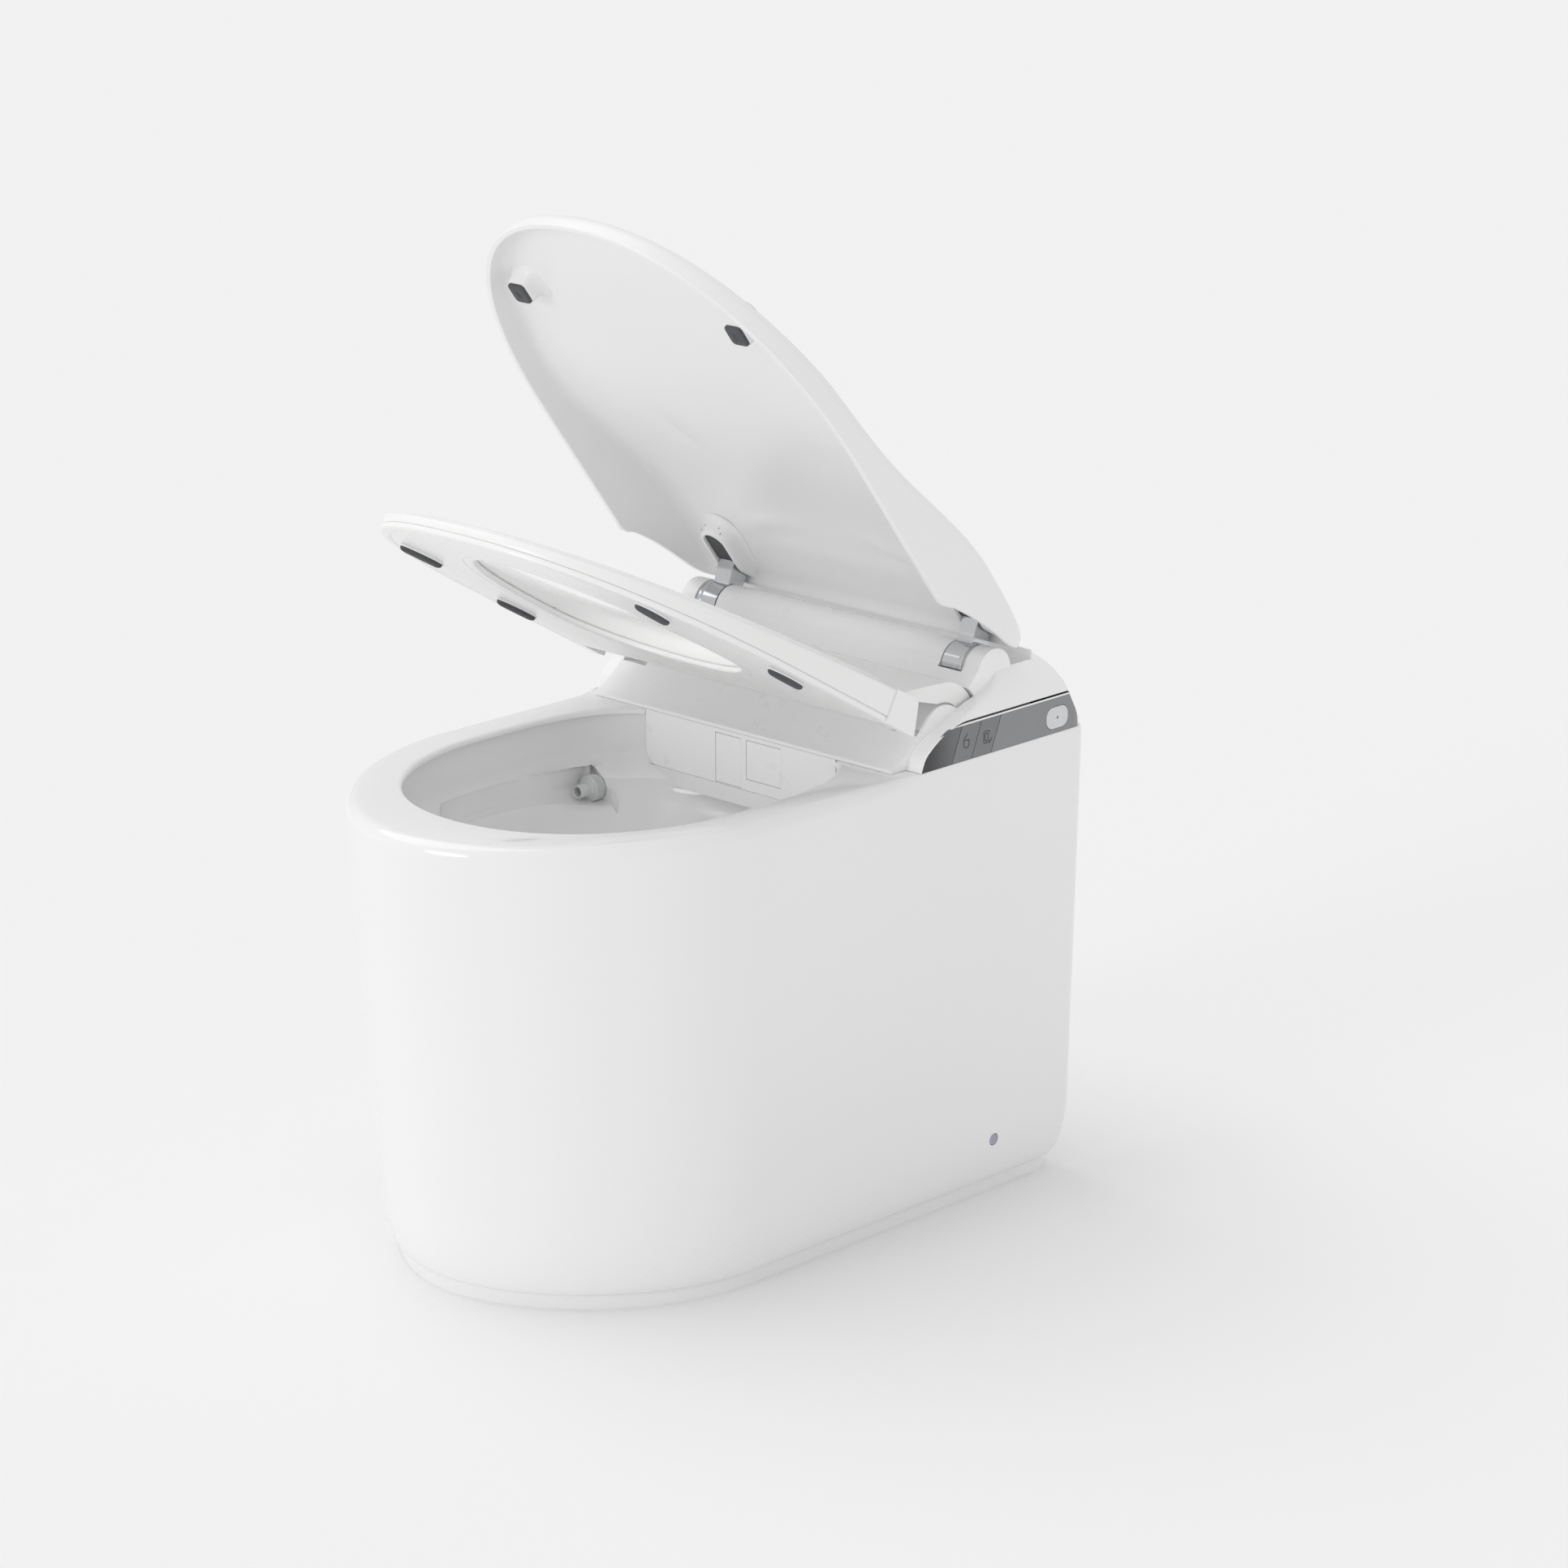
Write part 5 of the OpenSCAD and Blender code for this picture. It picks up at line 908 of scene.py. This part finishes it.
def ear_height(y):
    """Height of the ear's ridge: a smooth curve through its shares, then the deck behind the crest"""
    deck = [[BACK_Y - a * DECK_L, COVER_Z + b * CREST_H] for a, b in DECK]
    front = [[EAR_Y + a * EAR_L, COVER_Z + b * CREST_H] for a, b in EARS]
    return np.where(y < EAR_Y + EAR_L, through(front, y), through([front[-1]] + deck, y))


def shoulder_height(x):
    """Height of the housing's round shoulder at a distance from the middle, from the front view's shares"""
    return RIM_Z + CREST_H * through([[a, b] for a, b in SHOULDER], np.abs(x) / COVER_HW)


def lower_of(a, b, soft=5.0):
    """The lower of two heights, with the corner between them rounded off over a few millimetres"""
    h = np.clip(0.5 + 0.5 * (b - a) / soft, 0, 1)
    return mix(b, a, h) - soft * h * (1 - h)


def half_width(y):
    """The housing's half width at y, drawn in by the quarter circle of its rear corners"""
    past = np.clip(y - (COVER_BACK - COVER_R), 0, COVER_R)
    return COVER_HW - COVER_R + np.sqrt(COVER_R ** 2 - past ** 2)


def strip_top(y):
    """Height of the side strip's upper edge over its foot: an arched front, a level top, a raked rear"""
    front = [[0, 0], [0.021, 0.32], [0.057, 0.55], [0.11, 0.78], [0.165, 0.97], [0.19, 1]]
    u = (y - STRIP_Y) / STRIP_L
    rake = np.clip((1 - u) * STRIP_L / STRIP_RAKE, 0, 1)
    return np.where((u <= 0) | (u >= 1), 0, STRIP_H * np.minimum(through(front + [[1, 1]], u), rake))


def shelf(y):
    """How far the skin is set in above the side strip: a narrow chamfer that ends where the strip does"""
    top = np.minimum(ear_height(y), shoulder_height(np.full(np.shape(y), COVER_HW)))
    return 2.4 * eased((top - COVER_Z - strip_top(y)) / 5) * (strip_top(y) > 0)


def cover_rows(x_from, x_to, ys, columns):
    """Rows across the top of the housing: at each y, x goes from one share of the half width to the other,
    and the height is the lower of the ridge's and the shoulder's"""
    share = np.linspace(x_from, x_to, columns)
    share = np.sign(share) * (1 - (1 - np.abs(share)) ** 1.3) if x_from < 0 < x_to else share
    x = (half_width(ys) - shelf(ys))[:, None] * share[None, :]
    y = np.broadcast_to(ys[:, None], x.shape)
    return np.stack([x, y, np.maximum(lower_of(ear_height(y), shoulder_height(x)), COVER_Z)], -1)


def cover_wall(ys, side):
    """The housing's side wall: at each y, from the top's edge down to the strip's upper edge, in by the
    strip's thickness and down to the foot, so that the strip lies flush in it"""
    w = half_width(ys)
    top = np.maximum(lower_of(ear_height(ys), shoulder_height(np.full(len(ys), COVER_HW))), COVER_Z)
    upper = np.minimum(COVER_Z + strip_top(ys) + np.where(strip_top(ys) > 0, 0.3, 0), top)
    past = np.clip(ys - (COVER_BACK - COVER_R), 0, COVER_R) / COVER_R
    out = np.stack([np.sqrt(1 - past ** 2), past], -1)
    beside = strip_top(ys) > 0
    chamfer, seat = np.where(beside, shelf(ys), 0.0), np.where(beside, STRIP_SEAT, 0.0)
    edge = np.minimum(upper + 2.6, top)
    rows = []
    for level, step in ((top, chamfer), (mix(top, edge, 0.5), chamfer), (edge, chamfer), (upper, 0 * seat),
                        (upper, seat), (COVER_Z, seat)):
        x, y = side * (w - step * out[:, 0]), ys - step * out[:, 1]
        rows.append(np.stack([x, y, np.broadcast_to(level, ys.shape)], -1))
    return np.stack(rows, 1)


def housing_top():
    """The ears, the deck behind the barrel and the side walls, as open sheets that meet along their edges"""
    fine = np.concatenate([[0, 0.002, 0.006, 0.012, 0.02, 0.03, 0.045], np.linspace(0.06, 1, 60)])
    front = EAR_Y + (DECK_Y - EAR_Y) * fine
    rear = np.concatenate([np.linspace(DECK_Y, COVER_BACK - COVER_R, 20), COVER_BACK - COVER_R
                           + COVER_R * np.sin(np.linspace(0, np.radians(56), 12))[1:]])
    ys = np.concatenate([front, rear[1:]])
    sheets = [(cover_rows(-1, 1, rear, 121), False)]
    for side in SIDES:
        ear = cover_rows(side * EAR_X / COVER_HW, side, front, 24)
        inner = np.stack([ear[:, 0], ear[:, 0] * [1, 1, 0] + [0, 0, COVER_Z]], 1)
        sheets += [(ear, False), (inner, False), (cover_wall(ys, side), False)]
    return mesh_object("cover", sheets, closed=False)


def housing_core():
    """The hinge core between the ears, carried across: the scoop, the core's and the trough's arcs, the
    barrel, the lid's recess and the deck's start; the arms' slots and the seat's pockets are cut"""
    end = arc(SEAT_AXIS, CORE_R, 136, 136, 0)[0]
    scoop = end - [APRON_Y, COVER_Z + 3]
    run = np.linspace(0, 0.864, 14)
    front = np.stack([APRON_Y + run * scoop[0], COVER_Z + 3 + through(SCOOP, run) * scoop[1]], -1)
    outline = np.concatenate([
        [[APRON_Y, COVER_Z]], front,
        arc(SEAT_AXIS, CORE_R, 136, 3, 40), arc(SEAT_AXIS, BEARING_R, 3, 48, 16)[1:],
        arc(LID_AXIS, BARREL_R, 162, 0, 48), arc(LID_AXIS, BARREL_R, -7, -14, 3),
        arc(LID_AXIS, RECESS_R, -14, 12, 12),
        [[DECK_Y, float(ear_height(np.array([DECK_Y]))[0])], [DECK_Y, COVER_Z]]])
    core = extruded("core", outline, -EAR_X - 0.5, EAR_X + 0.5)
    tools = []
    for side in SIDES:
        low, high = sorted((side * ARM_SLOT[0], side * ARM_SLOT[1]))
        tools.append(cylinder(LID_AXIS, BARREL_R + 3, low, high, n=96))
        low, high = sorted((side * SEAT_POCKET[0], side * SEAT_POCKET[1]))
        tools.append(cylinder(SEAT_AXIS, PIN_WELL_R, low, high))
        sector = np.concatenate([[SEAT_AXIS], arc(SEAT_AXIS, SWEEP_R, 170, 12, 40)])
        tools.append(extruded("tool", sector, low, high))
    return carve(core, tools)


finished(joined("cover", [housing_core(), housing_top()]), "housing_skin", "toilet_base", HOUSING_ABS,
         "housing_cover", sharp=28)

# apron, doors, nozzle and caps
softened("front_apron", "apron_skin", "toilet_base", HOUSING_ABS, 0.5)
softened("nozzle_door", "nozzle_door_skin", "nozzle_door", HOUSING_ABS, 0.35)
softened("dryer_door", "dryer_door_skin", "dryer_door", HOUSING_ABS, 0.35)


def flush_nozzle():
    """The flush nozzle, turned about its axis: a base, a knurled ring, a stepped collar and a bored spout"""
    profile = [(0, 9, 0), (0, 11, 0), (1.2, 11.2, 0), (1.6, 11.4, 0), (2.2, 11.4, 0.7), (8.6, 11.4, 0.7),
               (9.4, 11.2, 0), (10.2, 10.6, 0), (10.5, 9.6, 0), (10.5, 8.4, 0), (11.6, 8, 0), (12.6, 7.6, 0),
               (12.8, 6.4, 0), (13.4, 6, 0), (21.4, 6, 0), (22.3, 5.8, 0), (22.9, 5.3, 0), (22.9, 4.7, 0),
               (22.4, 4.3, 0), (21.6, 4.2, 0), (10, 4.2, 0)]
    return revolved("nozzle", profile, [FLUSH_X, FLUSH_Y, FLUSH_Z], [0, -1, 0], teeth=48, n=576)


finished(flush_nozzle(), "knurled_flush_nozzle", "toilet_base", NOZZLE_ABS, "flush_nozzle", sharp=26)


def screw_caps():
    """The caps over the side screws: shallow domes with a rounded rim, one on each side"""
    profile = [(0, 4, 0), (0, 5.1, 0), (4, 5.2, 0), (4.7, 5, 0), (4.95, 4.6, 0), (4.8, 4.2, 0),
               (4.75, 3.6, 0), (4.9, 2.4, 0), (5, 1.2, 0), (5, 0.3, 0)]
    return joined("caps", [revolved("cap", profile, [side * CAP_X, *SCREW_AT], [side, 0, 0], n=96)
                           for side in SIDES])


finished(screw_caps(), "screw_cap_domes", "toilet_base", CAP_PE, "screw_caps", sharp=30)

# side strips, keys and button
softened("display_window", "smoked_window", "toilet_base", WINDOW, 0.25)
softened("side_strip_right", "strip_right", "toilet_base", STRIP_LACQUER, 0.25)
softened("side_strip_left", "strip_left", "toilet_base", STRIP_LACQUER, 0.25)


def pressed_cap(node, material, bevel, back):
    """A key's cap: its node's copy, with its back brought out so far that the key has room to travel"""
    moved(softened(node, node + "_cap", node, material, bevel),
          lambda p: np.maximum(p, [back, -np.inf, -np.inf]))


KEY_BACK, BUTTON_BACK, BUTTON_RISE, LINE_W, BOLD_W = 190.3, 190.6, 0.58, 0.75, 0.85
pressed_cap("lid_key", KEY_LACQUER, 0.2, KEY_BACK)
pressed_cap("seat_key", KEY_LACQUER, 0.2, KEY_BACK)
pressed_cap("flush_button", BUTTON, 0.6, BUTTON_BACK)


MARK_SUNK, MARK_PROUD = 0.2, 0.08


def marked(name, body, material, middle, lines, width, surface=STRIP_X):
    """A pictogram of flat lines, each with points in millimetres about the middle, a hair over the surface"""
    low, high = surface - MARK_SUNK, surface + MARK_PROUD
    parts = [ribbon(np.asarray(points) + middle, width, low, high, loop) for points, loop in lines]
    return finished(joined("mark", parts), name, body, material, sharp=30)


def pill(half_length, half_height, radius, n=5):
    """A rounded rectangle as a closed loop of points"""
    y, z = half_length - radius, half_height - radius
    return np.concatenate([arc(corner, radius, start, start + 90, n) for corner, start in (
        ((y, z), 0), ((-y, z), 90), ((-y, -z), 180), ((y, -z), 270))])


# A raised lid over a bowl, a seat ring with its turning arrow, and two waves that meet in a drop
bowl = np.concatenate([[[-3.0, 1.8]], arc([0.2, -1.6], 3.2, 180, 360, 10), [[3.4, 1.8]]])
marked("lid_mark", "lid_key", INK, [154.1, 415.6],
       [(bowl, False), ([[-3.4, 1.8], [3.8, 1.8]], False), ([[-3.2, 2.6], [1.6, 7.2]], False)], LINE_W)
marked("seat_mark", "seat_key", INK, [179.1, 415.0],
       [(pill(3.6, 5.0, 1.8), False), (pill(1.9, 3.1, 1.2), True), (arc([0, 0], 6.4, 300, 345, 8), False)],
       LINE_W)
wave = np.array([[-5.6, 1.4], [-3.4, 2.6], [-1.4, 1.4], [0, 0], [1.4, -1.4], [3.4, -2.6], [5.6, -1.4]])
marked("flush_mark", "flush_button", PALE_INK, [267.5, 413.5],
       [(wave, False), (wave * [1, -1], False), (arc([0, 0], 1.1, 0, 330, 10), True)], BOLD_W,
       STRIP_X + BUTTON_RISE)

# room, light and camera
FLOOR_REACH = 30000.0
AZIMUTH, ELEVATION, ROLL, DISTANCE, TARGET = 44.30, 16.83, -0.28, 4.272, (0, 0.1355, 0.344)
FOCAL_PX, IMAGE_PX, SENSOR_MM = 6182, 1932, 36.0


def stage():
    """A wide pale floor under the object"""
    corners = np.array([[[-1, -1, 0], [1, -1, 0]], [[-1, 1, 0], [1, 1, 0]]]) * FLOOR_REACH
    floor = mesh_object("floor", [(corners, False)], closed=False)
    material = bpy.data.materials.new("matt_pale_floor")
    material.use_nodes = True
    shader = material.node_tree.nodes["Principled BSDF"]
    shader.inputs["Base Color"].default_value = linear("#f8f8f8")
    shader.inputs["Roughness"].default_value = 0.95
    shader.inputs["Specular IOR Level"].default_value = 0.0
    floor.data.materials.append(material)


def light():
    """An even pale world, with a wide soft sun from the upper left and a low one from the front"""
    world = bpy.data.worlds.new("soft_daylight")
    bpy.context.scene.world = world
    world.use_nodes = True
    tree = world.node_tree
    tree.nodes.clear()
    glow = add(tree, "Background", {"Color": (1, 1, 1, 1), "Strength": 0.75})
    add(tree, "OutputWorld", {"Surface": glow.outputs["Background"]})
    for name, energy, angle, way in (("window_light", 0.6, 55, (-0.6, -0.2, 1.0)),
                                     ("front_light", 0.48, 24, (-0.1, -1.0, 0.2))):
        lamp = bpy.data.lights.new(name, "SUN")
        lamp.energy, lamp.angle = energy, np.radians(angle)
        placed(name, lamp).rotation_euler = Vector(way).to_track_quat("Z", "Y").to_euler()


def camera():
    """The photograph's view: degrees round, up and rolled, metres from its target, and the focal length in
    the image's pixels"""
    a, e, roll = np.radians([AZIMUTH, ELEVATION, ROLL])
    back = Vector((np.sin(a) * np.cos(e), -np.cos(a) * np.cos(e), np.sin(e)))
    right = Vector((np.cos(a), np.sin(a), 0))
    up = back.cross(right)
    right, up = right * np.cos(roll) + up * np.sin(roll), up * np.cos(roll) - right * np.sin(roll)
    lens = bpy.data.cameras.new("camera")
    lens.sensor_width, lens.lens, lens.clip_end = SENSOR_MM, SENSOR_MM * FOCAL_PX / IMAGE_PX, 100.0
    thing = placed("camera", lens)
    turn = Matrix((right, up, back)).transposed().to_4x4()
    thing.matrix_world = Matrix.Translation(Vector(TARGET) + back * DISTANCE) @ turn
    bpy.context.scene.camera = thing


stage()
light()
camera()
bpy.context.scene.view_settings.view_transform = "Standard"

bpy.context.view_layer.update()
